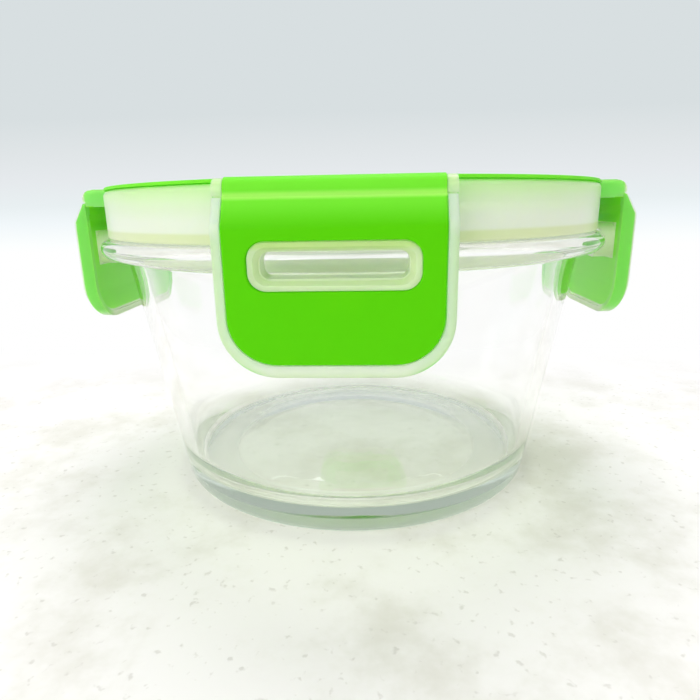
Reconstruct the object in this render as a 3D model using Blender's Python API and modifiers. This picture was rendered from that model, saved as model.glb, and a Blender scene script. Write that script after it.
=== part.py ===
"""A round glass food container with a clip-on plastic lid, in metres, +Z up.

The origin is the middle of the circle that the foot stands on. The bowl and the lid are turned about Z, and
the four latches hang from the lid at the front (-Y), right (+X), back (+Y) and left (-X). Each latch is made
once, in the frame of its own hinge, and the four copies share that mesh.
"""

import math

import bmesh
import bpy
from mathutils import Matrix, Vector

MM = 0.001

# The glass bowl.
RIM_RADIUS = 75.0 * MM
RIM_TOP = 74.5 * MM
FLANGE_HEIGHT = 5.0 * MM
FLANGE_OVERHANG = 6.5 * MM  # how far the rim stands out from the wall under it
WALL_FLARE = 11.6 * MM  # how much wider the wall is under the flange than at the table
WALL_THICKNESS = 3.5 * MM
BASE_THICKNESS = 5.6 * MM
HEEL_RADIUS = 3.0 * MM  # rounded corner between wall and foot
FLOOR_RADIUS = 7.0 * MM  # rounded corner inside, between wall and floor
FLANGE_FILLET = 1.6 * MM
LIP_RADIUS = 1.2 * MM  # inner edge of the mouth
FOOT_WIDTH = 6.0 * MM
FOOT_RECESS = 0.8 * MM
PUNT_RISE = 0.5 * MM

# The lid's moulded panel.
SKIRT_SETBACK = 2.3 * MM  # of the skirt's outside from the edge of the rim
SKIRT_WALL = 1.6 * MM
SKIRT_EDGE = 1.5 * MM
SKIRT_FOOT_EDGE = 0.4 * MM
BAND_WALL = 2.6 * MM
BAND_HEIGHT = 2.3 * MM
LID_CLEARANCE = 0.4 * MM  # skirt over the flange
LID_HEIGHT = 12.2 * MM  # panel, from the skirt's lower edge to the top of its ring
RING_WIDTH = 9.4 * MM
RING_SLOPE = 1.8 * MM
RECESS_DEPTH = 4.5 * MM
PANEL_THICKNESS = 1.6 * MM
PLUG_WALL = 1.6 * MM
PLUG_DEPTH = 3.7 * MM  # how far the plug reaches below the top of the glass
PLUG_CLEARANCE = 0.5 * MM
PLUG_DRAFT = 0.4 * MM
CHANNEL_WALL = 1.5 * MM

# The green layer moulded over the lid and its four tongues.
TRIM_THICKNESS = 0.7 * MM
TRIM_SETBACK = 0.3 * MM  # of its outer edge from the skirt
TRIM_EDGE = 0.4 * MM
MOULD_GAP = 0.2 * MM  # between the green layer and the panel under it

# The seal.
SEAL_GAP = 0.3 * MM
SEAL_LIP_WIDTH = 0.7 * MM
SEAL_LIP_TAPER = 0.3 * MM
SEAL_LIP_SPACING = 2.1 * MM
SEAL_NOTCH = 1.4 * MM

# The tongues that the latches hang from.
TONGUE_REACH = 2.5 * MM  # out from the skirt
TONGUE_THICKNESS = 3.9 * MM
TONGUE_EDGE = 2.6 * MM
APRON_THICKNESS = 0.8 * MM
BORDER_STEP = 0.2 * MM  # the clear border lies this far under the green face

# The latches.
LATCH_WIDTH = 45.9 * MM
LATCH_LENGTH = 34.6 * MM  # from the hinge edge to the foot
LATCH_CORNER = 11.5 * MM
LATCH_PROUD = 4.4 * MM  # face in front of the tongue's front
LATCH_TUCK = 0.75 * MM  # how much less far out the foot of the face stands
SHOULDER_DROP = 5.4 * MM  # from the hinge down to the widest place
SHOULDER_RADIUS = 3.0 * MM
FACE_HEIGHT = 21.0 * MM  # upright part of the face, below the shoulder
FOOT_BEND_RADIUS = 8.0 * MM
HINGE_GAP = 0.3 * MM
HINGE_STEP = 0.5 * MM  # hinge axis in front of the apron
HINGE_DROP = 3.7 * MM  # hinge axis below the lid's top
FRAME_WALL = 2.8 * MM
EDGE_WALL = 1.6 * MM
FACE_EDGE = 0.9 * MM
BORDER_WIDTH = 2.0 * MM
BOTTOM_BORDER = 2.9 * MM
GRIP_CORNER = 9.3 * MM
GRIP_THICKNESS = 1.0 * MM
GRIP_EDGE = 0.35 * MM

# The window in each latch, and the hook under it.
WINDOW_WIDTH = 28.0 * MM
WINDOW_HEIGHT = 5.1 * MM
WINDOW_CORNER = 1.7 * MM
WINDOW_DEPTH = 1.3 * MM  # how far the sloping surround sinks
WINDOW_LIP = 0.5 * MM  # flat lip round the window, at the foot of the slope
SURROUND_RIM = 0.3 * MM  # flat rim at the head of the slope
SURROUND_SIDE = 2.2 * MM
SURROUND_TOP = 1.8 * MM
SURROUND_BOTTOM = 2.1 * MM
SURROUND_CORNER = 3.3 * MM
HOOK_DROP = 0.3 * MM  # top of the hook under the flange
HOOK_HEIGHT = 2.9 * MM
HOOK_BITE = 1.7 * MM  # how far the hook reaches in under the rim
BOSS_ROOT = 0.6 * MM  # how far the boss round the window is sunk into the face
NOSE_CLEARANCE = 0.4 * MM

# How finely round forms are drawn, and how far a cutter runs past what it cuts.
BOWL_STEPS = 60
LID_STEPS = 60
HALF_STEP = math.pi / LID_STEPS  # turns a round cutter so that its edges miss those of the body it cuts
ARC_STEPS = 4
FINE_ARC_STEPS = 3
NOSE_STEPS = 7
CUT_MARGIN = 1.0 * MM
FACE_TOLERANCE = 0.1 * MM
MERGE_DISTANCE = 0.001 * MM
FLAT_ANGLE = math.radians(0.5)
SHARP_ANGLE = math.radians(35)
SIDES = {"front": 0, "right": 90, "back": 180, "left": 270}

# Where the pieces stand, from the sizes above.
WALL_TOP_RADIUS = RIM_RADIUS - FLANGE_OVERHANG
WALL_FOOT_RADIUS = WALL_TOP_RADIUS - WALL_FLARE
SKIRT_RADIUS = RIM_RADIUS - SKIRT_SETBACK
RING_INNER_RADIUS = SKIRT_RADIUS - RING_WIDTH
TONGUE_FRONT = SKIRT_RADIUS + TONGUE_REACH
LATCH_REACH = TONGUE_FRONT + LATCH_PROUD
LATCH_FOOT_REACH = LATCH_REACH - LATCH_TUCK
NOSE_RADIUS = FLANGE_HEIGHT / 2
NOSE_CENTRE = (RIM_RADIUS - NOSE_RADIUS, RIM_TOP - NOSE_RADIUS)
FLANGE_BOTTOM = RIM_TOP - FLANGE_HEIGHT
SKIRT_BOTTOM = RIM_TOP + LID_CLEARANCE
RING_TOP = SKIRT_BOTTOM + LID_HEIGHT
LID_TOP = RING_TOP + MOULD_GAP + TRIM_THICKNESS
SEAL_BOTTOM = RIM_TOP + SEAL_GAP
TRIM_RADIUS = SKIRT_RADIUS - TRIM_SETBACK
TONGUE_WIDTH = LATCH_WIDTH
GRIP_WIDTH = LATCH_WIDTH - 2 * (BORDER_WIDTH + MOULD_GAP)
FRAME_BACK = TONGUE_FRONT + HINGE_GAP
APRON_FRONT = TONGUE_FRONT + MOULD_GAP + APRON_THICKNESS
HINGE_HEIGHT = LID_TOP - HINGE_DROP
HINGE_RADIUS = APRON_FRONT + HINGE_STEP
LATCH_TOP = HINGE_HEIGHT - HINGE_GAP / 2
LATCH_BOTTOM = LATCH_TOP - LATCH_LENGTH
GRIP_BOTTOM = LATCH_BOTTOM + BOTTOM_BORDER
TONGUE_FACE_BOTTOM = HINGE_HEIGHT + HINGE_GAP / 2
HINGE_POINT = Vector((0, -HINGE_RADIUS, HINGE_HEIGHT))
WINDOW_BOTTOM = FLANGE_BOTTOM - HOOK_DROP
WINDOW_TOP = WINDOW_BOTTOM + WINDOW_HEIGHT
SURROUND_WIDTH = WINDOW_WIDTH + 2 * SURROUND_SIDE
HOOK_RADIUS = RIM_RADIUS - HOOK_BITE


def chord_reach(radius, width):
    """How far from the axis a straight edge stands whose two ends lie on a circle."""
    return math.sqrt(radius**2 - (width / 2) ** 2)


BOSS_BACK = chord_reach(HOOK_RADIUS, SURROUND_WIDTH) - CUT_MARGIN
THROUGH_LATCH = (BOSS_BACK - CUT_MARGIN, LATCH_REACH + CUT_MARGIN)


def clear_scene():
    for obj in list(bpy.data.objects):
        bpy.data.objects.remove(obj, do_unlink=True)


def new_collection(name):
    collection = bpy.data.collections.new(name)
    bpy.context.scene.collection.children.link(collection)
    return collection


clear_scene()
PARTS = new_collection("glass_storage_container")
CUTTERS = new_collection("cutters")


def make_material(name, colour, roughness, transmission=0.0, ior=1.5):
    material = bpy.data.materials.new(name)
    material.use_nodes = True
    shader = material.node_tree.nodes["Principled BSDF"]
    shader.inputs["Base Color"].default_value = (*colour, 1.0)
    shader.inputs["Roughness"].default_value = roughness
    shader.inputs["Metallic"].default_value = 0.0
    shader.inputs["Transmission Weight"].default_value = transmission
    shader.inputs["IOR"].default_value = ior
    material.diffuse_color = (*colour, 1.0)
    return material


def arc(centre, radius, start, end, steps=ARC_STEPS):
    """Points of a circle about centre from one angle to another, in degrees, both ends included."""
    points = []
    for i in range(steps + 1):
        angle = math.radians(start + (end - start) * i / steps)
        points.append((centre[0] + radius * math.cos(angle), centre[1] + radius * math.sin(angle)))
    return points


def rounded(points, radius, index, steps=ARC_STEPS):
    """The corner at this index of an outline, replaced by an arc that touches both its sides."""
    before, corner, after = (Vector(points[i % len(points)]) for i in (index - 1, index, index + 1))
    into, out = (before - corner).normalized(), (after - corner).normalized()
    half = into.angle(out) / 2
    centre = corner + (into + out).normalized() * (radius / math.sin(half))
    first = corner + into * (radius / math.tan(half)) - centre
    last = corner + out * (radius / math.tan(half)) - centre
    turn = first.angle_signed(last)
    bend = []
    for i in range(steps + 1):
        spoke = first.copy()
        spoke.rotate(Matrix.Rotation(-turn * i / steps, 2))
        bend.append(tuple(centre + spoke))
    return bend


def box_outline(width, low, high, lower_corner, upper_corner):
    """A rectangle about x = 0 whose lower and upper corners have their own radii; no radius, no arc."""
    half = width / 2
    corners = [(-half, low), (half, low), (half, high), (-half, high)]
    outline = []
    for i, radius in enumerate((lower_corner, lower_corner, upper_corner, upper_corner)):
        outline += rounded(corners, radius, i) if radius else [corners[i]]
    return outline


def add_object(name, mesh, collection, material=None):
    obj = bpy.data.objects.new(name, mesh)
    collection.objects.link(obj)
    if material:
        mesh.materials.clear()
        mesh.materials.append(material)
    if collection == CUTTERS:
        obj.hide_render = True
        obj.display_type = "WIRE"
    return obj


def turned(name, outline, steps, collection, material=None, closed=False):
    """A turned body. The outline is (radius, height) points that run down its outer side."""
    mesh = bpy.data.meshes.new(name)
    count = len(outline)
    edges = [(i, i + 1) for i in range(count - 1)] + ([(count - 1, 0)] if closed else [])
    mesh.from_pydata([(r, 0, z) for r, z in outline], edges, [])
    obj = add_object(name, mesh, collection, material)
    screw = obj.modifiers.new("Turn", "SCREW")
    screw.steps = screw.render_steps = steps
    screw.use_merge_vertices = True
    screw.merge_threshold = MERGE_DISTANCE
    screw.use_smooth_shade = True
    return obj


# How each prism's flat outline stands: its first axis, its second axis, and the way it is extruded.
PRISM_AXES = {
    "side": (Vector((0, -1, 0)), Vector((0, 0, 1)), Vector((-1, 0, 0))),
    "front": (Vector((1, 0, 0)), Vector((0, 0, 1)), Vector((0, -1, 0))),
}


def prism(name, outline, view, low, high, collection=None, material=None):
    """A flat outline drawn in the side view (outward, up) or the front view (across, up), given its depth."""
    curve = bpy.data.curves.new(name, "CURVE")
    curve.dimensions = "2D"
    curve.fill_mode = "BOTH"
    curve.extrude = (high - low) / 2
    spline = curve.splines.new("POLY")
    spline.points.add(len(outline) - 1)
    for point, (u, v) in zip(spline.points, outline):
        point.co = (u, v, 0, 1)
    spline.use_cyclic_u = True
    drawn = bpy.data.objects.new(name, curve)
    CUTTERS.objects.link(drawn)
    mesh = bpy.data.meshes.new_from_object(drawn.evaluated_get(bpy.context.evaluated_depsgraph_get()))
    bpy.data.objects.remove(drawn)
    across, up, depth = PRISM_AXES[view]
    stand = Matrix((across, up, depth)).transposed().to_4x4()
    stand.translation = depth * (low + high) / 2
    mesh.transform(stand)
    bm = bmesh.new()
    bm.from_mesh(mesh)
    bmesh.ops.remove_doubles(bm, verts=bm.verts, dist=MERGE_DISTANCE)
    bmesh.ops.dissolve_limit(bm, angle_limit=FLAT_ANGLE, verts=bm.verts, edges=bm.edges)
    bmesh.ops.recalc_face_normals(bm, faces=bm.faces)
    bm.to_mesh(mesh)
    bm.free()
    mesh.name = name
    return add_object(name, mesh, collection or CUTTERS, material)


def combine(obj, tool, operation):
    boolean = obj.modifiers.new(tool.name, "BOOLEAN")
    boolean.operation = operation
    boolean.object = tool
    boolean.solver = "EXACT"
    return obj


def settle(obj):
    """The object's modifiers made part of its mesh."""
    mesh = bpy.data.meshes.new_from_object(obj.evaluated_get(bpy.context.evaluated_depsgraph_get()))
    mesh.name = obj.name
    obj.modifiers.clear()
    obj.data = mesh
    return obj


def soften_edges(obj, width, steps, wanted):
    """A rounded edge along each sharp edge whose middle, a point in the object's frame, is wanted."""
    bm = bmesh.new()
    bm.from_mesh(obj.data)
    bmesh.ops.dissolve_limit(bm, angle_limit=FLAT_ANGLE, verts=bm.verts, edges=bm.edges)
    sharp = [
        edge
        for edge in bm.edges
        if len(edge.link_faces) == 2
        and edge.calc_face_angle() > SHARP_ANGLE
        and wanted((edge.verts[0].co + edge.verts[1].co) / 2)
    ]
    bmesh.ops.bevel(bm, geom=sharp, offset=width, segments=steps, profile=0.5, affect="EDGES")
    bm.to_mesh(obj.data)
    bm.free()
    return obj


def shade(mesh):
    mesh.shade_smooth()
    mesh.set_sharp_from_angle(angle=SHARP_ANGLE)


def wall_radius(height):
    """Outside of the bowl's wall at a height."""
    return WALL_FOOT_RADIUS + (WALL_TOP_RADIUS - WALL_FOOT_RADIUS) * height / FLANGE_BOTTOM


def wall_tilt():
    """How far the wall leans out from upright, in degrees."""
    return math.degrees(math.atan2(WALL_TOP_RADIUS - WALL_FOOT_RADIUS, FLANGE_BOTTOM))


def inner_radius(height):
    return wall_radius(height) - WALL_THICKNESS / math.cos(math.radians(wall_tilt()))


def bowl_outline():
    """From the middle of the floor, up the inside, over the rim, down the outside and under the foot."""
    floor = [(0, BASE_THICKNESS), (inner_radius(BASE_THICKNESS), BASE_THICKNESS)]
    mouth = [(inner_radius(RIM_TOP), RIM_TOP), (NOSE_CENTRE[0], RIM_TOP)]
    inside = floor + mouth
    outline = [inside[0]] + rounded(inside, FLOOR_RADIUS, 1) + rounded(inside, LIP_RADIUS, 2, FINE_ARC_STEPS)
    outline += arc(NOSE_CENTRE, NOSE_RADIUS, 90, -90, NOSE_STEPS)
    under = (wall_radius(FLANGE_BOTTOM), FLANGE_BOTTOM)
    heel = (wall_radius(0), 0)
    outside = [outline[-1], under, heel, (0, 0)]
    outline += rounded(outside, FLANGE_FILLET, 1, FINE_ARC_STEPS)
    outline += rounded(outside, HEEL_RADIUS, 2)
    foot_inner = outline[-1][0] - FOOT_WIDTH
    outline += [(foot_inner, 0), (foot_inner - FOOT_RECESS, FOOT_RECESS)]
    outline += [(0, FOOT_RECESS + PUNT_RISE)]
    return outline


def plug_radius():
    """Outside of the plug at its lower end, clear of the glass."""
    return inner_radius(RIM_TOP - PLUG_DEPTH) - PLUG_CLEARANCE


def panel_outline():
    """The lid's section: recessed middle, ring with a channel for the green layer, skirt, groove and plug."""
    panel_top = RING_TOP - RECESS_DEPTH
    groove_top = RING_TOP - RECESS_DEPTH - CHANNEL_WALL
    plug_bottom = RIM_TOP - PLUG_DEPTH
    plug_top = plug_radius() + PLUG_DRAFT
    band_inner = SKIRT_RADIUS - BAND_WALL
    skirt_inner = SKIRT_RADIUS - SKIRT_WALL
    band_top = SKIRT_BOTTOM + BAND_HEIGHT
    outline = [(0, panel_top), (RING_INNER_RADIUS - RING_SLOPE, panel_top), (RING_INNER_RADIUS, RING_TOP)]
    outline += [(channel_inner(), RING_TOP), (channel_inner(), panel_top)]
    outline += [(channel_outer(), panel_top), (channel_outer(), RING_TOP)]
    edge = [(channel_outer(), RING_TOP), (SKIRT_RADIUS, RING_TOP), (SKIRT_RADIUS, SKIRT_BOTTOM)]
    outline += rounded(edge, SKIRT_EDGE, 1)
    foot_centre = (SKIRT_RADIUS - SKIRT_FOOT_EDGE, SKIRT_BOTTOM + SKIRT_FOOT_EDGE)
    outline += arc(foot_centre, SKIRT_FOOT_EDGE, 0, -90, 2)
    outline += [(band_inner, SKIRT_BOTTOM), (band_inner, band_top)]
    outline += [(skirt_inner, band_top + (BAND_WALL - SKIRT_WALL) / 2), (skirt_inner, groove_top)]
    outline += [(plug_top, groove_top)]
    tip = (plug_radius() - PLUG_WALL / 2, plug_bottom + PLUG_WALL / 2)
    outline += arc(tip, PLUG_WALL / 2, 0, -180, 4)
    outline += [(tip[0] - PLUG_WALL / 2, panel_top - PANEL_THICKNESS), (0, panel_top - PANEL_THICKNESS)]
    return outline


def channel_inner():
    """Inside of the channel in the lid's ring, one wall out from the plug's outer face."""
    return plug_radius() + PLUG_DRAFT + CHANNEL_WALL


def channel_outer():
    return SKIRT_RADIUS - SKIRT_WALL - CHANNEL_WALL


def trim_outline():
    """The green ring, with the rib under it that locks it into the panel's channel."""
    low = RING_TOP + MOULD_GAP
    inner = RING_INNER_RADIUS + TRIM_SETBACK
    rib_low = RING_TOP - RECESS_DEPTH + MOULD_GAP
    rib_outer, rib_inner = channel_outer() - MOULD_GAP, channel_inner() + MOULD_GAP
    outline = arc((TRIM_RADIUS - TRIM_EDGE, LID_TOP - TRIM_EDGE), TRIM_EDGE, 90, 0, FINE_ARC_STEPS)
    outline += [(TRIM_RADIUS, low), (rib_outer, low), (rib_outer, rib_low)]
    outline += [(rib_inner, rib_low), (rib_inner, low), (inner, low)]
    outline += arc((inner + TRIM_EDGE, LID_TOP - TRIM_EDGE), TRIM_EDGE, 180, 90, FINE_ARC_STEPS)
    return outline


def seal_outline():
    """The silicone ring: a square body held in the groove, and two lips that press on the glass."""
    top = RING_TOP - RECESS_DEPTH - CHANNEL_WALL - SEAL_GAP
    inner = plug_radius() + PLUG_DRAFT + SEAL_GAP
    outer = SKIRT_RADIUS - SKIRT_WALL - SEAL_GAP
    waist = SKIRT_RADIUS - BAND_WALL - SEAL_GAP
    band_top = SKIRT_BOTTOM + BAND_HEIGHT
    lip_top = SEAL_BOTTOM + SEAL_NOTCH
    outline = [(inner, top), (outer, top), (outer, band_top + (BAND_WALL - SKIRT_WALL) / 2 + SEAL_GAP)]
    outline.append((waist, band_top))
    for lip_outer in (waist, waist - SEAL_LIP_SPACING):
        tip_outer = lip_outer - SEAL_LIP_TAPER
        tip_inner = tip_outer - SEAL_LIP_WIDTH
        outline += [(lip_outer, lip_top), (tip_outer, SEAL_BOTTOM), (tip_inner, SEAL_BOTTOM)]
        outline.append((tip_inner - SEAL_LIP_TAPER, lip_top))
    outline.append((inner, lip_top + SEAL_NOTCH / 2))
    return outline


def on_all_sides(obj):
    """The settled mesh joined with its copies turned about the lid's axis, ready for one union or cut."""
    bm = bmesh.new()
    for degrees in SIDES.values():
        turned_copy = obj.data.copy()
        turned_copy.transform(Matrix.Rotation(math.radians(degrees), 4, "Z"))
        bm.from_mesh(turned_copy)
        bpy.data.meshes.remove(turned_copy)
    bm.to_mesh(obj.data)
    bm.free()
    return obj


def tongue_section(front, top, inner, low):
    """A tongue in side view, with its rounded upper edge."""
    outline = [(inner, low), (front, low), (front, top), (inner, top)]
    return [outline[0], outline[1]] + rounded(outline, TONGUE_EDGE, 2) + [outline[3]]


def make_lid(material, trim_material):
    root = SKIRT_RADIUS - SKIRT_WALL / 2
    inner = chord_reach(root, TONGUE_WIDTH) - CUT_MARGIN
    border_top = LID_TOP - BORDER_STEP
    border_front = APRON_FRONT - BORDER_STEP
    # The clear tongue: a step under the hinge, and the rounded border that frames the green layer.
    step = [
        (inner, RING_TOP - TONGUE_THICKNESS),
        (TONGUE_FRONT, RING_TOP - TONGUE_THICKNESS),
        (TONGUE_FRONT, TONGUE_FACE_BOTTOM),
        (border_front, TONGUE_FACE_BOTTOM),
        (border_front, border_top),
        (inner, border_top),
    ]
    section = step[:4] + rounded(step, TONGUE_EDGE, 4) + [step[5]]
    tongue = prism("tongue", section, "side", -TONGUE_WIDTH / 2, TONGUE_WIDTH / 2)
    # The tongue starts inside the skirt's wall and, above the panel, outside the green ring.
    clear_of_ring = TRIM_RADIUS + MOULD_GAP
    above = LID_TOP + CUT_MARGIN
    core_line = [(0, above), (clear_of_ring, above), (clear_of_ring, RING_TOP)]
    core_line += [(root, RING_TOP), (root, 0), (0, 0)]
    core = turned("tongue_core", core_line, LID_STEPS, CUTTERS)
    core.rotation_euler.z = HALF_STEP
    layer_low = TONGUE_FACE_BOTTOM - CUT_MARGIN
    layer = tongue_section(APRON_FRONT + CUT_MARGIN, above, inner - CUT_MARGIN, layer_low)
    bed = tongue_section(TONGUE_FRONT, RING_TOP, 0, RING_TOP - TONGUE_THICKNESS - CUT_MARGIN)
    pocket_half = GRIP_WIDTH / 2 + MOULD_GAP
    pocket = prism("tongue_pocket", layer, "side", -pocket_half, pocket_half)
    bed_block = prism("tongue_bed", bed, "side", -TONGUE_WIDTH, TONGUE_WIDTH)
    settle(combine(pocket, bed_block, "DIFFERENCE"))
    combine(tongue, core, "DIFFERENCE")
    settle(combine(tongue, pocket, "DIFFERENCE"))
    on_all_sides(tongue)

    panel = turned("lid_panel", panel_outline(), LID_STEPS, PARTS, material)
    combine(panel, tongue, "UNION")

    # The green layer on a tongue, bent down over its front edge as an apron.
    sheet_inner = chord_reach(TRIM_RADIUS, GRIP_WIDTH) - 2 * CUT_MARGIN
    sheet_top = tongue_section(APRON_FRONT, LID_TOP, sheet_inner, TONGUE_FACE_BOTTOM)
    sheet_bed = tongue_section(TONGUE_FRONT + MOULD_GAP, RING_TOP + MOULD_GAP, 0, HINGE_HEIGHT - CUT_MARGIN)
    sheet = prism("trim_tongue", sheet_top, "side", -GRIP_WIDTH / 2, GRIP_WIDTH / 2)
    sheet_block = prism("trim_bed", sheet_bed, "side", -GRIP_WIDTH, GRIP_WIDTH)
    settle(combine(sheet, sheet_block, "DIFFERENCE"))
    on_all_sides(sheet)
    trim = turned("lid_trim", trim_outline(), LID_STEPS, PARTS, trim_material, closed=True)
    combine(trim, sheet, "UNION")
    return panel, trim


def face_line(inset):
    """The latch's face in side view, from the hinge down, moved in by the inset."""
    hinge = (HINGE_RADIUS - inset, LATCH_TOP)
    widest = HINGE_HEIGHT - SHOULDER_DROP
    shoulder = (LATCH_REACH - inset, widest)
    foot = (LATCH_REACH - inset, widest - FACE_HEIGHT)
    end = (LATCH_FOOT_REACH - inset, LATCH_BOTTOM)
    line = [hinge, shoulder, foot, end]
    return [hinge] + rounded(line, SHOULDER_RADIUS, 1) + rounded(line, FOOT_BEND_RADIUS, 2, 2) + [end]


def make_grip_mesh(material):
    """The green panel: a bent sheet that stands a little proud of the frame, with the surround cut out."""
    face = face_line(-BORDER_STEP)
    back = face_line(GRIP_THICKNESS - BORDER_STEP)
    sheet = prism("grip", face + back[::-1], "side", -GRIP_WIDTH / 2, GRIP_WIDTH / 2)
    outline = box_outline(GRIP_WIDTH, GRIP_BOTTOM, LATCH_TOP, GRIP_CORNER, 0)
    shape = prism("grip_shape", outline, "front", *THROUGH_LATCH)
    settle(combine(sheet, shape, "INTERSECT"))
    hole = prism("grip_hole", surround_outline(MOULD_GAP), "front", *THROUGH_LATCH)
    settle(combine(sheet, hole, "DIFFERENCE"))
    soften_edges(sheet, GRIP_EDGE, 2, on_face)
    return latch_mesh(sheet, "latch_grip", material)


def face_radius(height):
    """How far the latch's face stands from the axis at a height."""
    line = face_line(0)
    for (r0, z0), (r1, z1) in zip(line, line[1:]):
        if z1 <= height <= z0:
            return r0 + (r1 - r0) * (z0 - height) / (z0 - z1)
    return line[0][0] if height > line[0][1] else line[-1][0]


def on_face(point):
    """Whether a point lies on the latch's face or proud of it, away from the hinge."""
    return -point.y > face_radius(point.z) - FACE_TOLERANCE and point.z < LATCH_TOP - FACE_EDGE


def surround_outline(grow=0.0):
    low = WINDOW_BOTTOM - SURROUND_BOTTOM - grow
    high = WINDOW_TOP + SURROUND_TOP + grow
    corner = SURROUND_CORNER + grow
    return box_outline(SURROUND_WIDTH + 2 * grow, low, high, corner, corner)


def make_funnel():
    """The slope from the surround's edge down to the window: a prism drawn in at its deep end."""
    deep = LATCH_REACH - WINDOW_DEPTH
    funnel = prism("window_funnel", surround_outline(-SURROUND_RIM), "front", deep, LATCH_REACH + CUT_MARGIN)
    centre = (WINDOW_BOTTOM + WINDOW_TOP) / 2
    tall = WINDOW_HEIGHT + SURROUND_TOP + SURROUND_BOTTOM
    for vertex in funnel.data.vertices:
        if -vertex.co.y < LATCH_REACH:
            vertex.co.x *= (WINDOW_WIDTH + 2 * WINDOW_LIP) / SURROUND_WIDTH
            vertex.co.z = centre + (vertex.co.z - centre) * (WINDOW_HEIGHT + 2 * WINDOW_LIP) / tall
    return funnel


def make_boss():
    """The ring behind the window: its lower rail is the hook that goes in under the glass flange."""
    low = WINDOW_BOTTOM - HOOK_HEIGHT
    high = WINDOW_TOP + SURROUND_TOP
    outline = box_outline(SURROUND_WIDTH, low, high, SURROUND_CORNER, SURROUND_CORNER)
    boss = prism("boss", outline, "front", BOSS_BACK, LATCH_REACH - FRAME_WALL + BOSS_ROOT)
    bore_top = high + CUT_MARGIN
    bore_low = low - CUT_MARGIN
    bore_line = [(0, bore_top), (HOOK_RADIUS, bore_top), (HOOK_RADIUS, bore_low), (0, bore_low)]
    bore = turned("boss_bore", bore_line, BOWL_STEPS, CUTTERS)
    settle(combine(boss, bore, "DIFFERENCE"))
    reach = NOSE_RADIUS + NOSE_CLEARANCE
    inner = NOSE_CENTRE[0] - CUT_MARGIN
    nose_line = arc(NOSE_CENTRE, reach, 90, -90, NOSE_STEPS)
    nose_line += [(inner, NOSE_CENTRE[1] - reach), (inner, NOSE_CENTRE[1] + reach)]
    nose = turned("nose_clearance", nose_line, BOWL_STEPS, CUTTERS, closed=True)
    nose.rotation_euler.z = HALF_STEP
    return settle(combine(boss, nose, "DIFFERENCE"))


def make_frame_mesh(material):
    """The clear latch: face, edge wall, hinge lip, window, surround and hook in one moulding."""
    outline = face_line(0) + [(FRAME_BACK, LATCH_BOTTOM), (FRAME_BACK, LATCH_TOP)]
    frame = prism("frame", outline, "side", -LATCH_WIDTH / 2, LATCH_WIDTH / 2)
    face_shape = box_outline(LATCH_WIDTH, LATCH_BOTTOM, LATCH_TOP, LATCH_CORNER, 0)
    shape = prism("frame_shape", face_shape, "front", *THROUGH_LATCH)
    settle(combine(frame, shape, "INTERSECT"))
    soften_edges(frame, FACE_EDGE, 3, on_face)

    # The tray that lightens the back, inside the edge wall.
    behind = FRAME_BACK - CUT_MARGIN
    tray_side = face_line(FRAME_WALL) + [(behind, LATCH_BOTTOM), (behind, LATCH_TOP)]
    tray = prism("tray", tray_side, "side", -LATCH_WIDTH / 2, LATCH_WIDTH / 2)
    tray_outline = box_outline(
        LATCH_WIDTH - 2 * EDGE_WALL,
        LATCH_BOTTOM + EDGE_WALL,
        HINGE_HEIGHT - SHOULDER_DROP / 2,
        LATCH_CORNER - EDGE_WALL,
        EDGE_WALL,
    )
    tray_shape = prism("tray_shape", tray_outline, "front", *THROUGH_LATCH)
    settle(combine(tray, tray_shape, "INTERSECT"))
    combine(frame, tray, "DIFFERENCE")
    settle(combine(frame, make_boss(), "UNION"))

    # The bed that the green panel lies in, left out round the window.
    before = LATCH_REACH + CUT_MARGIN
    bed_side = face_line(GRIP_THICKNESS - BORDER_STEP + MOULD_GAP)
    bed_side += [(before, LATCH_BOTTOM), (before, LATCH_TOP)]
    bed = prism("bed", bed_side, "side", -LATCH_WIDTH, LATCH_WIDTH)
    bed_outline = box_outline(
        GRIP_WIDTH + 2 * MOULD_GAP,
        GRIP_BOTTOM - MOULD_GAP,
        LATCH_TOP + CUT_MARGIN,
        GRIP_CORNER + MOULD_GAP,
        0,
    )
    bed_shape = prism("bed_shape", bed_outline, "front", *THROUGH_LATCH)
    settle(combine(bed, bed_shape, "INTERSECT"))
    island = prism("bed_island", surround_outline(), "front", *THROUGH_LATCH)
    settle(combine(bed, island, "DIFFERENCE"))
    combine(frame, bed, "DIFFERENCE")

    combine(frame, make_funnel(), "DIFFERENCE")
    window_line = box_outline(WINDOW_WIDTH, WINDOW_BOTTOM, WINDOW_TOP, WINDOW_CORNER, WINDOW_CORNER)
    window = prism("window", window_line, "front", *THROUGH_LATCH)
    settle(combine(frame, window, "DIFFERENCE"))
    return latch_mesh(frame, "latch_frame", material)


def latch_mesh(obj, name, material):
    """The finished mesh, moved so that its origin is on the hinge axis; the working object goes."""
    mesh = obj.data
    mesh.transform(Matrix.Translation(-HINGE_POINT))
    mesh.name = name
    mesh.materials.clear()
    mesh.materials.append(material)
    shade(mesh)
    bpy.data.objects.remove(obj)
    return mesh


def place_latches(frame_mesh, grip_mesh):
    for side, degrees in SIDES.items():
        turn = Matrix.Rotation(math.radians(degrees), 4, "Z")
        hinge = bpy.data.objects.new(f"hinge_{side}", None)
        PARTS.objects.link(hinge)
        hinge.matrix_world = turn @ Matrix.Translation(HINGE_POINT)
        for kind, mesh in (("frame", frame_mesh), ("grip", grip_mesh)):
            piece = bpy.data.objects.new(f"latch_{kind}_{side}", mesh)
            PARTS.objects.link(piece)
            piece.parent = hinge


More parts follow.
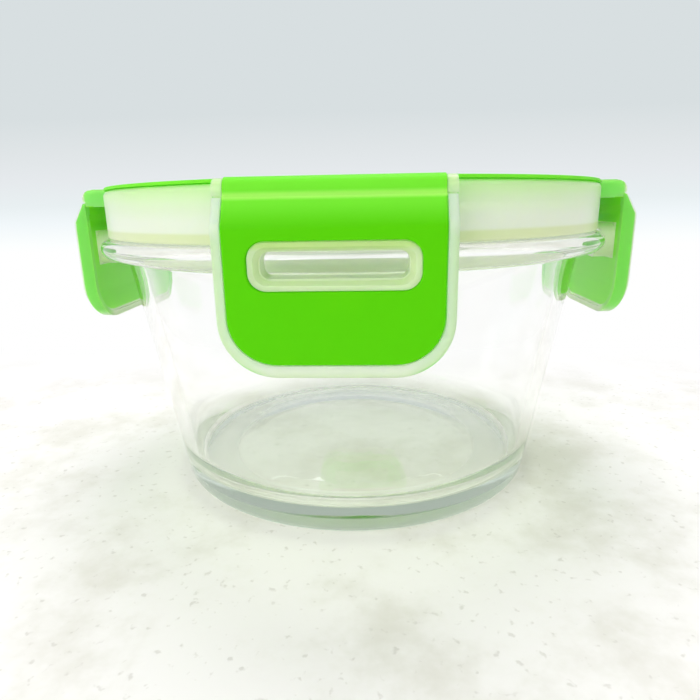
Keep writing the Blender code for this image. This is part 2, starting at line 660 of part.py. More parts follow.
def build():
    glass = make_material("clear_glass", (0.93, 0.97, 0.95), 0.02, transmission=1.0, ior=1.5)
    clear = make_material("frosted_polypropylene", (0.80, 0.92, 0.74), 0.35, transmission=0.6, ior=1.49)
    green = make_material("lime_green_overmould", (0.114, 0.651, 0.002), 0.4)
    silicone = make_material("white_silicone", (0.86, 0.88, 0.86), 0.5)

    turned("glass_bowl", bowl_outline(), BOWL_STEPS, PARTS, glass)
    make_lid(clear, green)
    turned("seal_ring", seal_outline(), LID_STEPS, PARTS, silicone, closed=True)
    place_latches(make_frame_mesh(clear), make_grip_mesh(green))


build()
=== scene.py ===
# %% [markdown]
# # A glass food container with a clip-on lid
# The shapes that move, fit and carry load were made beforehand, and arrive here as a fixed frame of named
# pieces. This notebook gives them their looks: clear glass, frosted plastic and a soft green layer, on a pale
# table under soft light. Everything is in metres, with +Z up and the front latch facing -Y.

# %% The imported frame
from math import atan2, cos, radians, sin, sqrt, tan, tau

import bmesh
import bpy
from mathutils import Matrix, Vector


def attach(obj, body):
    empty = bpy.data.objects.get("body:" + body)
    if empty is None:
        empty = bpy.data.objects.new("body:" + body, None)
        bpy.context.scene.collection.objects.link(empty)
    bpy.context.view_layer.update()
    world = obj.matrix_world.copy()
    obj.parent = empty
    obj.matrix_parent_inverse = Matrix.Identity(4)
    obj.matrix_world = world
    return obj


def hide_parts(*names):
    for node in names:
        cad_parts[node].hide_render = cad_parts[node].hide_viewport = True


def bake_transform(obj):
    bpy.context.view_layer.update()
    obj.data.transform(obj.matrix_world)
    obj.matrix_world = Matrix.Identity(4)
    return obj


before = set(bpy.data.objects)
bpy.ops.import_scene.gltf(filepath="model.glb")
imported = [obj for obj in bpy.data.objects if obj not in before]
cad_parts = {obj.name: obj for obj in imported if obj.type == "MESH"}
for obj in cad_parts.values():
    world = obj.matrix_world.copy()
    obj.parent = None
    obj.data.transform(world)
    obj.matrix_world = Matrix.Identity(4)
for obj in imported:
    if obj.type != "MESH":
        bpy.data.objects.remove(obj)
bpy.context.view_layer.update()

MM = 0.001
print("nodes:", sorted(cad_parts))

# %% [markdown]
# ## The camera
# The photograph was taken from close by with a wide lens, almost level with the lid. A wide lens near the
# object bends the rim into strong curves, so distance and lens matter more here than a few degrees of turn.
# The values were found by fitting circles of known height to the rim, the lid and the foot.

# %% A camera at the photograph's view
PICTURE_WIDTH = 700
FOCAL_PIXELS = 540
SENSOR_WIDTH = 36
NEAREST_SEEN = 5 * MM
CAMERA_DISTANCE = 179.5 * MM
CAMERA_HEIGHT = 82.51 * MM
CAMERA_AZIMUTH = radians(2.5)
CAMERA_PITCH = radians(15.05)
CAMERA_YAW = radians(-0.44)
CAMERA_ROLL = radians(1.04)


def in_scene(name, data):
    """An object with this data, linked into the scene."""
    thing = bpy.data.objects.new(name, data)
    bpy.context.scene.collection.objects.link(thing)
    return thing


def place_camera():
    data = bpy.data.cameras.new("camera")
    data.sensor_width = SENSOR_WIDTH
    data.lens = FOCAL_PIXELS * SENSOR_WIDTH / PICTURE_WIDTH
    data.clip_start = NEAREST_SEEN
    camera = in_scene("camera", data)
    forward = Vector((
        sin(CAMERA_YAW) * cos(CAMERA_PITCH),
        cos(CAMERA_YAW) * cos(CAMERA_PITCH),
        -sin(CAMERA_PITCH),
    ))
    right = Vector((cos(CAMERA_YAW), -sin(CAMERA_YAW), 0))
    up = right.cross(forward)
    across = right * cos(CAMERA_ROLL) - up * sin(CAMERA_ROLL)
    upright = right * sin(CAMERA_ROLL) + up * cos(CAMERA_ROLL)
    pose = Matrix((across, upright, -forward)).transposed().to_4x4()
    pose.translation = Vector((0, -CAMERA_DISTANCE, CAMERA_HEIGHT))
    camera.matrix_world = Matrix.Rotation(CAMERA_AZIMUTH, 4, "Z") @ pose
    bpy.context.scene.camera = camera
    return camera


camera = place_camera()
print("lens:", round(camera.data.lens, 2), "mm at", [round(v, 4) for v in camera.location])

# %% [markdown]
# ## Writing materials as sums
# A material in Blender is a graph of nodes. Long graphs read badly in code, so a small class stands for one
# output of a node and answers to +, -, * and /: each adds a Math node. Every other node comes from one method
# of the material, which takes the node's type, what goes into its sockets and its settings.

# %% Values that can be added up, and the finish that holds them
class Value:
    """One output of a node, usable in sums."""

    def __init__(self, finish, socket):
        self.finish = finish
        self.socket = socket

    def __add__(self, other):
        return self.finish.maths("ADD", self, other)

    def __sub__(self, other):
        return self.finish.maths("SUBTRACT", self, other)

    def __rsub__(self, other):
        return self.finish.maths("SUBTRACT", other, self)

    def __mul__(self, other):
        return self.finish.maths("MULTIPLY", self, other)

    def __truediv__(self, other):
        return self.finish.maths("DIVIDE", self, other)

    def __abs__(self):
        return self.finish.maths("ABSOLUTE", self)

    __radd__ = __add__
    __rmul__ = __mul__


class Finish:
    """The nodes of a material, or of the room's light, while they are being written."""

    def __init__(self, owner):
        self.owner = owner
        owner.use_nodes = True
        self.tree = owner.node_tree
        self.tree.nodes.clear()

    def node(self, kind, values=None, settings=None, output=0):
        """Adds a shader node: its settings, then a value or a link for each named or numbered socket."""
        node = self.tree.nodes.new("ShaderNode" + kind)
        for name, setting in (settings or {}).items():
            if name == "stops":
                self.set_stops(node.color_ramp, setting)
            else:
                setattr(node, name, setting)
        for name, value in (values or {}).items():
            if isinstance(value, Value):
                self.tree.links.new(value.socket, node.inputs[name])
            else:
                node.inputs[name].default_value = value
        return Value(self, node.outputs[output]) if len(node.outputs) else None

    def set_stops(self, ramp, stops):
        while len(ramp.elements) < len(stops):
            ramp.elements.new(1)
        for element, (position, colour) in zip(ramp.elements, stops):
            element.position = position
            element.color = colour

    def between(self, value, low, high, kind="SMOOTHSTEP"):
        """0 below low, 1 above high, and a step of this kind from one to the other."""
        settings = {"interpolation_type": kind}
        return self.node("MapRange", {"Value": value, "From Min": low, "From Max": high}, settings)

    def mixed(self, factor, first, second):
        """Two colours, mixed by a factor."""
        values = {"Factor": factor, 6: first, 7: second}
        return self.node("Mix", values, {"data_type": "RGBA"}, output=2)

    def noise(self, place, scale, detail=3.0, roughness=0.5):
        values = {"Vector": place, "Scale": scale, "Detail": detail, "Roughness": roughness}
        return self.node("TexNoise", values)

    def place(self):
        """Where a point is on the object itself, in metres."""
        return self.node("TexCoord", output="Object")

    def part_of(self, vector, axis):
        return self.node("SeparateXYZ", {"Vector": vector}, output=axis)

    def radius_of(self, place):
        """How far a point is from the lid's axis."""
        x, y = self.part_of(place, "X"), self.part_of(place, "Y")
        return self.maths("SQRT", x * x + y * y)

    def maths(self, operation, *terms):
        return self.node("Math", dict(enumerate(terms)), {"operation": operation})

    def other(self, value, output):
        """Another output of the node that this value comes from."""
        return Value(self, value.socket.node.outputs[output])

    def bumps(self, height, depth):
        """A surface relief of this depth, in metres."""
        return self.node("Bump", {"Height": height, "Distance": depth, "Strength": 1.0})

    def clear(self, tint):
        """Lets light straight through, tinted."""
        return self.node("BsdfTransparent", {"Color": tint})

    def glow(self, tint):
        """Shows a colour as it is, whatever the light."""
        return self.node("Emission", {"Color": tint, "Strength": 1.0})

    def either(self, factor, first, second):
        """Two shaders, mixed by a factor."""
        return self.node("MixShader", {0: factor, 1: first, 2: second})

    def surface(self, shader, filling=None):
        """Ends the material with its surface shader and, for glass, what fills it."""
        values = {"Surface": shader, "Volume": filling} if filling else {"Surface": shader}
        self.node("OutputMaterial", values)
        return self.owner


def new_finish(name):
    return Finish(bpy.data.materials.new(name))


def colour(red, green, blue):
    """A colour given as it looks on a screen, 0 to 255, turned into the linear light that shaders use."""
    linear = [v / 3294.6 if v <= 10.31 else ((v / 255 + 0.055) / 1.055) ** 2.4 for v in (red, green, blue)]
    return (*linear, 1.0)


print("mid grey is", [round(v, 3) for v in colour(128, 128, 128)])

# %% [markdown]
# ## Clear glass
# Pressed soda-lime glass bends light by an index of about 1.5, and a trace of iron makes it green where the
# eye looks along it. So the green isn't painted on the surface: it is an absorption inside the body, and it
# grows by itself where the path is long, at the rim and in the thick base. Light from lamps and from the
# table would leave a black shadow behind glass unless every bent ray were traced, so rays on their way to a
# lamp, and rays that a dull surface sends out, pass straight through.

# %% The glass
WHITE = (1.0, 1.0, 1.0, 1.0)
GLASS_INDEX = 1.5
GLASS_TINT = (0.81, 0.90, 0.79, 1.0)
GLASS_DENSITY = 9.0
CLEAR_TINT = (0.98, 0.984, 0.968, 1.0)
RIPPLE_SCALE = 60.0
RIPPLE_DEPTH = 0.02 * MM
BASE_LEVEL = 6.0 * MM
BASE_FADE = 2.0 * MM
BASE_SHARE = 0.86  # of the light that each surface of the thick base lets down to the table
BASE_WAVES = 3.0  # how much wavier the base is than the wall
STIPPLE_LEVEL = 0.3 * MM
STIPPLE_ROUGHNESS = 0.35  # of the ring that the bowl stands on
HEEL_START = 52.5 * MM
HEEL_FADE = 1.0 * MM
HEEL_LOSS = 0.6  # the thick heel bends lamp light away, which darkens the table round the foot
MOST_TURNS = 2.5  # light is led along inside the wall by endless reflections, which go dark if cut off
LEAVING_TINT = (0.85, 0.865, 0.835, 1.0)


def lets_lamps_through(finish, body, tint, share=1.0):
    """The body as the eye sees it, which this share of the rays to lamps passes straight, tinted."""
    path = finish.node("LightPath", output="Is Shadow Ray")
    dull_ray = finish.other(path, "Is Diffuse Ray")
    return finish.either((path + dull_ray) * share, body, finish.clear(tint))


def lets_trapped_light_out(finish, body):
    """The body, which a ray leaves once it has been turned back inside it too often."""
    turns = finish.node("LightPath", output="Glossy Depth")
    return finish.either(finish.maths("GREATER_THAN", turns, MOST_TURNS), body, finish.clear(LEAVING_TINT))


def clear_glass():
    finish = new_finish("clear_glass")
    place = finish.place()
    height = finish.part_of(place, "Z")
    low = 1 - finish.between(height, BASE_LEVEL, 2 * BASE_LEVEL)
    ripple = finish.noise(place, RIPPLE_SCALE, detail=2.0) * (low * BASE_WAVES + 1)
    stippled = 1 - finish.between(height, STIPPLE_LEVEL, 2 * STIPPLE_LEVEL)
    body = finish.node("BsdfPrincipled", {
        "Base Color": WHITE,
        "Roughness": stippled * STIPPLE_ROUGHNESS,
        "IOR": GLASS_INDEX,
        "Transmission Weight": 1.0,
        "Normal": finish.bumps(ripple, RIPPLE_DEPTH),
    })
    filling = finish.node("VolumeAbsorption", {"Color": GLASS_TINT, "Density": GLASS_DENSITY})
    share = finish.between(height, BASE_LEVEL, BASE_LEVEL + BASE_FADE) * (1 - BASE_SHARE) + BASE_SHARE
    heel = finish.between(finish.radius_of(place), HEEL_START, HEEL_START + HEEL_FADE) * low
    share = share * (1 - heel * HEEL_LOSS)
    body = lets_trapped_light_out(finish, body)
    return finish.surface(lets_lamps_through(finish, body, CLEAR_TINT, share), filling)


GLASS = clear_glass()
print("glass nodes:", len(GLASS.node_tree.nodes))

# %% [markdown]
# ## Frosted plastic
# The lid and the latches are natural polypropylene: milky, a little waxy, and bright with light that wanders
# about inside. A rough clear body and a milky one are mixed, so that the shapes behind still show. The green
# layer's light, which reaches the eye through both, is painted into the colour of the plastic that it covers:
# the skirt is painted green at its top and near white below, and a latch is painted green behind its panel
# and is pale at its border.

# %% Sizes that the finishes and the shapes share
RING_TOP = 87.1 * MM
SKIRT_RADIUS = 72.7 * MM
SKIRT_BOTTOM = 74.9 * MM
BAND_HEIGHT = 2.3 * MM
BAND_TOP = SKIRT_BOTTOM + BAND_HEIGHT
APRON_FRONT = 76.2 * MM
BORDER_STEP = 0.2 * MM
TONGUE_THICKNESS = 3.9 * MM
TONGUE_LEVEL = RING_TOP - TONGUE_THICKNESS
LATCH_WIDTH = 45.9 * MM
LATCH_BOTTOM = 49.55 * MM
LATCH_CORNER = 11.5 * MM
LATCH_REACH = 79.6 * MM
SHOULDER_LEVEL = 78.9 * MM
HINGE_HEIGHT = 84.3 * MM
HINGE_RADIUS = 76.7 * MM
GRIP_CORNER = 9.3 * MM
WINDOW_WIDTH = 28.0 * MM
WINDOW_BOTTOM = 69.2 * MM
WINDOW_TOP = 74.3 * MM
SURROUND_SIDE = 2.2 * MM
SURROUND_TOP = 1.8 * MM
SURROUND_WIDTH = WINDOW_WIDTH + 2 * SURROUND_SIDE
HOOK_HEIGHT = 2.9 * MM
HOOK_LEVELS = (WINDOW_BOTTOM - HOOK_HEIGHT, WINDOW_TOP + SURROUND_TOP)
print("window:", round(WINDOW_WIDTH / MM, 1), "by", round((WINDOW_TOP - WINDOW_BOTTOM) / MM, 1), "mm")

# %% A milky body
FROST_INDEX = 1.49
FROST_ROUGHNESS = 0.26
FROST_GRAIN = 2500.0
FROST_GRAIN_DEPTH = 0.02 * MM
FROST_REACH = (0.004, 0.004, 0.003)  # how far light wanders in it, for red, green and blue
FROST_TINT = (0.93, 0.98, 0.88, 1.0)
FROST_SHARE = 0.7
CLOUD_SCALE = 90.0
FINE = 0.3 * MM  # over which one tone runs into the next
HAIR = 0.1 * MM  # keeps a tone's end off the face that it belongs to


def across_and_reach(finish, place):
    """How far a point is from its latch's middle, and how far out from the lid's axis."""
    x, y = abs(finish.part_of(place, "X")), abs(finish.part_of(place, "Y"))
    return finish.maths("MINIMUM", x, y), finish.maths("MAXIMUM", x, y)


def milky(finish, place, tint, clearness):
    """A waxy body; the clearness is the share of light that isn't scattered inside."""
    grain = finish.noise(place, FROST_GRAIN, detail=2.0)
    body = finish.node("BsdfPrincipled", {
        "Base Color": tint,
        "Roughness": FROST_ROUGHNESS + grain * 0.1,
        "IOR": FROST_INDEX,
        "Specular IOR Level": 0.4,
        "Transmission Weight": clearness,
        "Subsurface Weight": 0.7,
        "Subsurface Radius": FROST_REACH,
        "Subsurface Scale": 1.0,
        "Normal": finish.bumps(grain, FROST_GRAIN_DEPTH),
    })
    return finish.surface(lets_lamps_through(finish, body, FROST_TINT, FROST_SHARE))


# %% The frosted lid
# Painted light: the green layer's light seen through the plastic, green at the skirt's top and near white
# lower down.
GLOW_TOP = colour(218, 255, 184)
GLOW_MIDDLE = colour(234, 253, 218)
GLOW_LOW = colour(243, 254, 232)
BAND_SHADE = colour(224, 236, 190)
TONGUE_GREEN_LIGHT = colour(124, 244, 84)
PAINTED_SHADE_GREEN = colour(126, 252, 10)
GLOW_DEPTHS = (8.0 * MM, 4.0 * MM, 4.5 * MM)  # below the ring's top, where the tones run into each other
CLOUD_DRIFT = 0.8 * MM
BAND_FADE = 0.5 * MM
SKIRT_EDGE_REACH = SKIRT_RADIUS + HAIR
TONGUE_HALF = LATCH_WIDTH / 2
TONGUE_REACH = APRON_FRONT - BORDER_STEP
TONGUE_STRENGTH = 0.85
LID_CLEARNESS = 0.3


def frosted_lid():
    finish = new_finish("frosted_lid")
    place = finish.place()
    height = finish.part_of(place, "Z")
    # Painted light: green from the layer near the ring's top, fading to near white lower on the skirt.
    level = height + (finish.noise(place, CLOUD_SCALE, detail=4.0) - 0.5) * CLOUD_DRIFT
    start, full, turn = (RING_TOP - depth for depth in GLOW_DEPTHS)
    low, high = finish.between(level, start, full), finish.between(level, turn, RING_TOP)
    tint = finish.mixed(high, finish.mixed(low, GLOW_LOW, GLOW_MIDDLE), GLOW_TOP)
    # The band is the thicker foot of the skirt: painted shade, darker from outside only, for the lesser light
    # that comes through the thick plastic.
    outside = finish.between(finish.radius_of(place), SKIRT_EDGE_REACH - 2 * FINE, SKIRT_EDGE_REACH - FINE)
    band = outside * (1 - finish.between(height, BAND_TOP - BAND_FADE, BAND_TOP + FINE))
    tint = finish.mixed(band, tint, BAND_SHADE)
    # A tongue's two ends: painted green light from the layer that lies on it.
    across, reach = across_and_reach(finish, place)
    tongue = outside * finish.between(across, TONGUE_HALF - FINE, TONGUE_HALF - HAIR / 2)
    tongue = tongue * (1 - finish.between(reach, TONGUE_REACH - 3 * FINE, TONGUE_REACH - FINE))
    tongue = tongue * (1 - finish.between(across, TONGUE_HALF + HAIR, TONGUE_HALF + FINE))
    tongue = tongue * finish.between(height, TONGUE_LEVEL - FINE, TONGUE_LEVEL)
    tint = finish.mixed(tongue * TONGUE_STRENGTH, tint, TONGUE_GREEN_LIGHT)
    # Its underside: painted shade, a deep green for the latch's shade.
    under = finish.between(reach, SKIRT_EDGE_REACH, SKIRT_EDGE_REACH + FINE)
    under = under * (1 - finish.between(height, TONGUE_LEVEL + HAIR, TONGUE_LEVEL + FINE))
    tint = finish.mixed(under, tint, PAINTED_SHADE_GREEN)
    return milky(finish, place, tint, LID_CLEARNESS)


LID_PLASTIC = frosted_lid()
print("lid plastic nodes:", len(LID_PLASTIC.node_tree.nodes))

# %% The frosted latch's tones
PALE_BORDER = colour(236, 248, 226)
PALE_CLOUD = colour(240, 251, 232)
BORDER_RIM = colour(220, 239, 202)
BORDER_HIGHLIGHT = colour(252, 255, 242)
GREEN_LIGHT_BEHIND = colour(138, 252, 56)
EDGE_GREEN_GLOW = colour(130, 236, 86)
BACK_EDGE_GLOW = colour(146, 242, 90)
BACK_STRENGTH = 0.8
SURROUND_FACE = colour(228, 252, 196)
SURROUND_FACE_REFLECTION = colour(216, 252, 156)
SURROUND_COLOUR = colour(230, 252, 196)
SURROUND_SLOPE_REFLECTION = colour(200, 242, 128)
HOOK_COLOUR = colour(238, 253, 218)
LATCH_CLEARNESS = 0.35
# Each tone's range: where it starts and where it is full.
RIM_RANGE = (GRIP_CORNER + 0.4 * MM, GRIP_CORNER + 2.0 * MM)
BORDER_HIGHLIGHT_RANGE = (SHOULDER_LEVEL - 3.0 * MM, SHOULDER_LEVEL + 1.0 * MM)
EDGE_RANGE = (GRIP_CORNER - 0.2 * MM, GRIP_CORNER + FINE)
DEEP_LEAN = 1.5 * MM  # how much thinner the latch is at its hinge
DEEP_RANGE = (2.2 * MM, 2.6 * MM)
HEAD_SHADE_RANGE = (75.5 * MM, 78.0 * MM)
FOOT_RANGE = (13.0 * MM, 20.0 * MM)
SIDE_RANGE = (0.5 * MM, 0.9 * MM)
BACK_RANGE = (3.8 * MM, 4.0 * MM)
SURROUND_RANGE = (HAIR / 2, FINE)
HOOK_RANGE = (1.2 * MM, 1.4 * MM)
HOOK_HALF = SURROUND_WIDTH / 2
WINDOW_HEAD = WINDOW_TOP + HAIR
HEAD_FADE = 1.0 * MM


# %% The frosted latch
def from_core(finish, across, height):
    """How far a point of the latch is outside the core that its rounded outline runs round."""
    dx = finish.maths("MAXIMUM", across - (LATCH_WIDTH / 2 - LATCH_CORNER), 0.0)
    dz = finish.maths("MAXIMUM", (LATCH_BOTTOM + LATCH_CORNER) - height, 0.0)
    return finish.maths("SQRT", dx * dx + dz * dz)


def frosted_latch():
    finish = new_finish("frosted_latch")
    place = finish.place()
    height = finish.part_of(place, "Z")
    across, reach = across_and_reach(finish, place)
    # The border is greener along its rim, with a painted highlight above the shoulder.
    core = from_core(finish, across, height)
    pale = finish.mixed(finish.noise(place, CLOUD_SCALE, detail=4.0) * 0.5, PALE_BORDER, PALE_CLOUD)
    pale = finish.mixed(finish.between(core, *RIM_RANGE), pale, BORDER_RIM)
    pale = finish.mixed(finish.between(height, *BORDER_HIGHLIGHT_RANGE), pale, BORDER_HIGHLIGHT)
    # How deep a point lies behind the latch's face, which falls back above the shoulder.
    lean = finish.between(height, SHOULDER_LEVEL, HINGE_HEIGHT, "LINEAR")
    depth = LATCH_REACH - lean * (LATCH_REACH - HINGE_RADIUS) - reach
    edge = finish.between(core, *EDGE_RANGE)
    deep = finish.between(depth + lean * DEEP_LEAN, *DEEP_RANGE)
    # Painted green light: behind the face the plastic takes the colour of the light that comes through the
    # green panel.
    tint = finish.mixed((1 - edge) * deep, pale, GREEN_LIGHT_BEHIND)
    # Painted shade: near the hinge, deep behind the face, a saturated green for the shade under the tongue.
    tint = finish.mixed(finish.between(height, *HEAD_SHADE_RANGE) * deep, tint, PAINTED_SHADE_GREEN)
    # The side of the edge is painted green, for the light from within; its far end and the foot are paler.
    above_foot = finish.between(across, *FOOT_RANGE)
    side = edge * finish.between(depth, *SIDE_RANGE) * above_foot
    tint = finish.mixed(side, tint, EDGE_GREEN_GLOW)
    back = finish.between(depth, *BACK_RANGE) * edge * above_foot
    tint = finish.mixed(back * BACK_STRENGTH, tint, BACK_EDGE_GLOW)
    # The ring behind the window, with the hook; its upper part gets a painted reflection of the green.
    ring = 1 - finish.between(across, HOOK_HALF + HAIR, HOOK_HALF + FINE)
    ring = ring * finish.between(height, HOOK_LEVELS[0] - FINE, HOOK_LEVELS[0])
    ring = ring * (1 - finish.between(height, HOOK_LEVELS[1], HOOK_LEVELS[1] + FINE))
    upper = finish.between(height, WINDOW_HEAD, WINDOW_HEAD + HEAD_FADE)
    tint = finish.mixed(ring, tint, finish.mixed(upper, SURROUND_FACE, SURROUND_FACE_REFLECTION))
    inside = ring * finish.between(depth, *SURROUND_RANGE)
    tint = finish.mixed(inside, tint, SURROUND_COLOUR)
    tint = finish.mixed(inside * upper, tint, SURROUND_SLOPE_REFLECTION)
    tint = finish.mixed(ring * finish.between(depth, *HOOK_RANGE), tint, HOOK_COLOUR)
    return milky(finish, place, tint, LATCH_CLEARNESS)


LATCH_PLASTIC = frosted_latch()
print("latch plastic nodes:", len(LATCH_PLASTIC.node_tree.nodes))

# %% [markdown]
# ## The green layer
# A softer plastic is moulded over the lid's ring, its tongues and the latches. It has a satin, slightly
# uneven surface. The colour is pure, so what makes it real is what breaks it up: a fine grain, faint flow
# marks, painted light on its upper part below the hinge, a painted highlight where it bends over the hinge,
# and a darker tone under the shoulder, which the lamps give.

# %% The green layer
LIME = colour(88, 206, 0)
LIME_PALE = colour(96, 212, 0)
LIME_PAINTED_LIGHT = colour(134, 246, 66)
LIME_CREASE_HIGHLIGHT = colour(178, 252, 108)  # a painted highlight where the layer bends over the hinge, where it is also stretched thin
LIME_INDEX = 1.48
LIME_ROUGHNESS = 0.42
LIME_REACH = (0.001, 0.002, 0.0005)
LIME_TINT = (0.5, 1.0, 0.15, 1.0)
LIME_SHARE = 0.55
LIME_GRAIN = 1800.0
LIME_GRAIN_DEPTH = 0.03 * MM
FLOW_SCALE = 70.0
FLOW_RANGE = (0.45, 0.75)
PAINTED_LIGHT_RANGE = (HINGE_HEIGHT - 6.0 * MM, HINGE_HEIGHT)
CREASE_HIGHLIGHT_RANGE = (HINGE_HEIGHT - 0.9 * MM, HINGE_HEIGHT - 0.1 * MM)
CREASE_HIGHLIGHT_END = (HINGE_HEIGHT + 0.2 * MM, HINGE_HEIGHT + 1.2 * MM)


def lime_layer():
    finish = new_finish("lime_green_overmould")
    place = finish.place()
    height = finish.part_of(place, "Z")
    flow = finish.between(finish.noise(place, FLOW_SCALE, detail=5.0), *FLOW_RANGE)
    tint = finish.mixed(flow * 0.5, LIME, LIME_PALE)
    # Painted light: lighter on the upper part below the hinge, which faces the overhead light.
    tint = finish.mixed(finish.between(height, *PAINTED_LIGHT_RANGE) * 0.6, tint, LIME_PAINTED_LIGHT)
    # Painted highlight along the hinge's crease.
    crease_highlight = finish.between(height, *CREASE_HIGHLIGHT_RANGE) * (1 - finish.between(height, *CREASE_HIGHLIGHT_END))
    tint = finish.mixed(crease_highlight * 0.8, tint, LIME_CREASE_HIGHLIGHT)
    grain = finish.noise(place, LIME_GRAIN, detail=3.0)
    body = finish.node("BsdfPrincipled", {
        "Base Color": tint,
        "Roughness": LIME_ROUGHNESS + grain * 0.14,
        "IOR": LIME_INDEX,
        "Specular IOR Level": 0.08,
        "Subsurface Weight": 0.15,
        "Subsurface Radius": LIME_REACH,
        "Subsurface Scale": 1.0,
        "Normal": finish.bumps(grain, LIME_GRAIN_DEPTH),
    })
    return finish.surface(lets_lamps_through(finish, body, LIME_TINT, LIME_SHARE))


GREEN = lime_layer()
print("green layer nodes:", len(GREEN.node_tree.nodes))

# %% [markdown]
# ## The seal's silicone
# The seal hides in the lid's groove and shows only once the lid is off. Silicone is duller than the lid and
# softer to look into, so it gets a rougher skin, a little clearness and no tint but its own warm white.

# %% The silicone
SILICONE_PALE = colour(242, 247, 238)
SILICONE_SHADE = colour(232, 240, 226)
SILICONE_GRAIN = 900.0
SILICONE_REACH = (0.003, 0.003, 0.003)
SILICONE_TINT = (0.95, 0.97, 0.93, 1.0)
SILICONE_SHARE = 0.6


def silicone():
    finish = new_finish("white_silicone")
    grain = finish.noise(finish.place(), SILICONE_GRAIN, detail=2.0)
    body = finish.node("BsdfPrincipled", {
        "Base Color": finish.mixed(grain, SILICONE_SHADE, SILICONE_PALE),
        "Roughness": 0.5,
        "IOR": 1.41,
        "Transmission Weight": 0.3,
        "Subsurface Weight": 0.5,
        "Subsurface Radius": SILICONE_REACH,
        "Subsurface Scale": 1.0,
    })
    return finish.surface(lets_lamps_through(finish, body, SILICONE_TINT, SILICONE_SHARE))


SILICONE = silicone()
print("finishes:", [m.name for m in bpy.data.materials])

# %% [markdown]
# ## The glass bowl
# Refraction shows every facet, so the bowl gets its own finer mesh: the same section, turned in many more
# steps. A turned shape is one section carried round an axis, and here the points of each ring are worked out
# directly, which leaves clean rows of four-sided faces.

# %% The bowl's section
RIM_RADIUS = 75.0 * MM
RIM_TOP = 74.5 * MM
FLANGE_HEIGHT = 5.0 * MM
WALL_TOP_RADIUS = 68.5 * MM
WALL_FOOT_RADIUS = 56.9 * MM
WALL_THICKNESS = 3.5 * MM
BASE_THICKNESS = 5.6 * MM
HEEL_RADIUS = 3.0 * MM
FLOOR_RADIUS = 10.0 * MM
FLANGE_FILLET = 1.6 * MM
LIP_RADIUS = 1.2 * MM
FOOT_WIDTH = 6.0 * MM
FOOT_RECESS = 0.8 * MM
FOOT_RUN = 14.0 * MM  # over which the foot's ring rises to its recess
FOOT_STEPS = 20
PUNT_RISE = 0.5 * MM
NOSE_RADIUS = FLANGE_HEIGHT / 2
NOSE_CENTRE = (RIM_RADIUS - NOSE_RADIUS, RIM_TOP - NOSE_RADIUS)
FLANGE_BOTTOM = RIM_TOP - FLANGE_HEIGHT


def arc(centre, radius, start, end, steps):
    points = []
    for i in range(steps + 1):
        angle = radians(start + (end - start) * i / steps)
        points.append((centre[0] + radius * cos(angle), centre[1] + radius * sin(angle)))
    return points


def rounded(points, radius, index, steps):
    """The corner at this index of an outline, replaced by an arc that touches both its sides."""
    before, corner, after = (Vector(points[i % len(points)]) for i in (index - 1, index, index + 1))
    into = (before - corner).normalized()
    out = (after - corner).normalized()
    half = into.angle(out) / 2
    centre = corner + (into + out).normalized() * (radius / sin(half))
    first = corner + into * (radius / tan(half)) - centre
    last = corner + out * (radius / tan(half)) - centre
    turn = first.angle_signed(last)
    bend = []
    for i in range(steps + 1):
        spoke = first.copy()
        spoke.rotate(Matrix.Rotation(-turn * i / steps, 2))
        bend.append(tuple(centre + spoke))
    return bend


def wall_radius(height):
    return WALL_FOOT_RADIUS + (WALL_TOP_RADIUS - WALL_FOOT_RADIUS) * height / FLANGE_BOTTOM


def inner_radius(height):
    tilt = atan2(WALL_TOP_RADIUS - WALL_FOOT_RADIUS, FLANGE_BOTTOM)
    return wall_radius(height) - WALL_THICKNESS / cos(tilt)


def bowl_section():
    """From the middle of the floor, up the inside, over the rim, down the outside and under the foot."""
    inside = [(0, BASE_THICKNESS), (inner_radius(BASE_THICKNESS), BASE_THICKNESS)]
    inside += [(inner_radius(RIM_TOP), RIM_TOP), (NOSE_CENTRE[0], RIM_TOP)]
    line = [inside[0]] + rounded(inside, FLOOR_RADIUS, 1, 16) + rounded(inside, LIP_RADIUS, 2, 8)
    line += arc(NOSE_CENTRE, NOSE_RADIUS, 90, -90, 24)
    outside = [line[-1], (wall_radius(FLANGE_BOTTOM), FLANGE_BOTTOM), (wall_radius(0), 0), (0, 0)]
    line += rounded(outside, FLANGE_FILLET, 1, 8) + rounded(outside, HEEL_RADIUS, 2, 12)
    foot_inner = line[-1][0] - FOOT_WIDTH
    for i in range(FOOT_STEPS + 1):
        share = i / FOOT_STEPS
        rise = FOOT_RECESS * share * share * (3 - 2 * share)
        line.append((foot_inner - FOOT_RUN * share, rise))
    return line + [(0, FOOT_RECESS + PUNT_RISE)]


# %% A section carried round the axis
SAME_POINT = 0.001 * MM


def ended(name, bm, material=None):
    """The finished mesh as an object, its faces turned outward."""
    bmesh.ops.remove_doubles(bm, verts=bm.verts, dist=SAME_POINT)
    bmesh.ops.recalc_face_normals(bm, faces=bm.faces)
    mesh = bpy.data.meshes.new(name)
    bm.to_mesh(mesh)
    bm.free()
    mesh.shade_smooth()
    if material:
        mesh.materials.append(material)
    return in_scene(name, mesh)


def turned(name, section, steps, material=None, closed=False, start=0.0):
    """A body whose section starts and ends on the axis, or is closed in itself."""
    bm = bmesh.new()
    rings = []
    for radius, height in section:
        if radius == 0:
            rings.append([bm.verts.new((0, 0, height))])
            continue
        turns = [tau * (i + start) / steps for i in range(steps)]
        rings.append([bm.verts.new((radius * cos(a), radius * sin(a), height)) for a in turns])
    for low, high in zip(rings, rings[1:] + (rings[:1] if closed else [])):
        for i in range(steps):
            j = (i + 1) % steps
            corners = [low[i % len(low)], low[j % len(low)], high[j % len(high)], high[i % len(high)]]
            bm.faces.new(list(dict.fromkeys(corners)))
    return ended(name, bm, material)


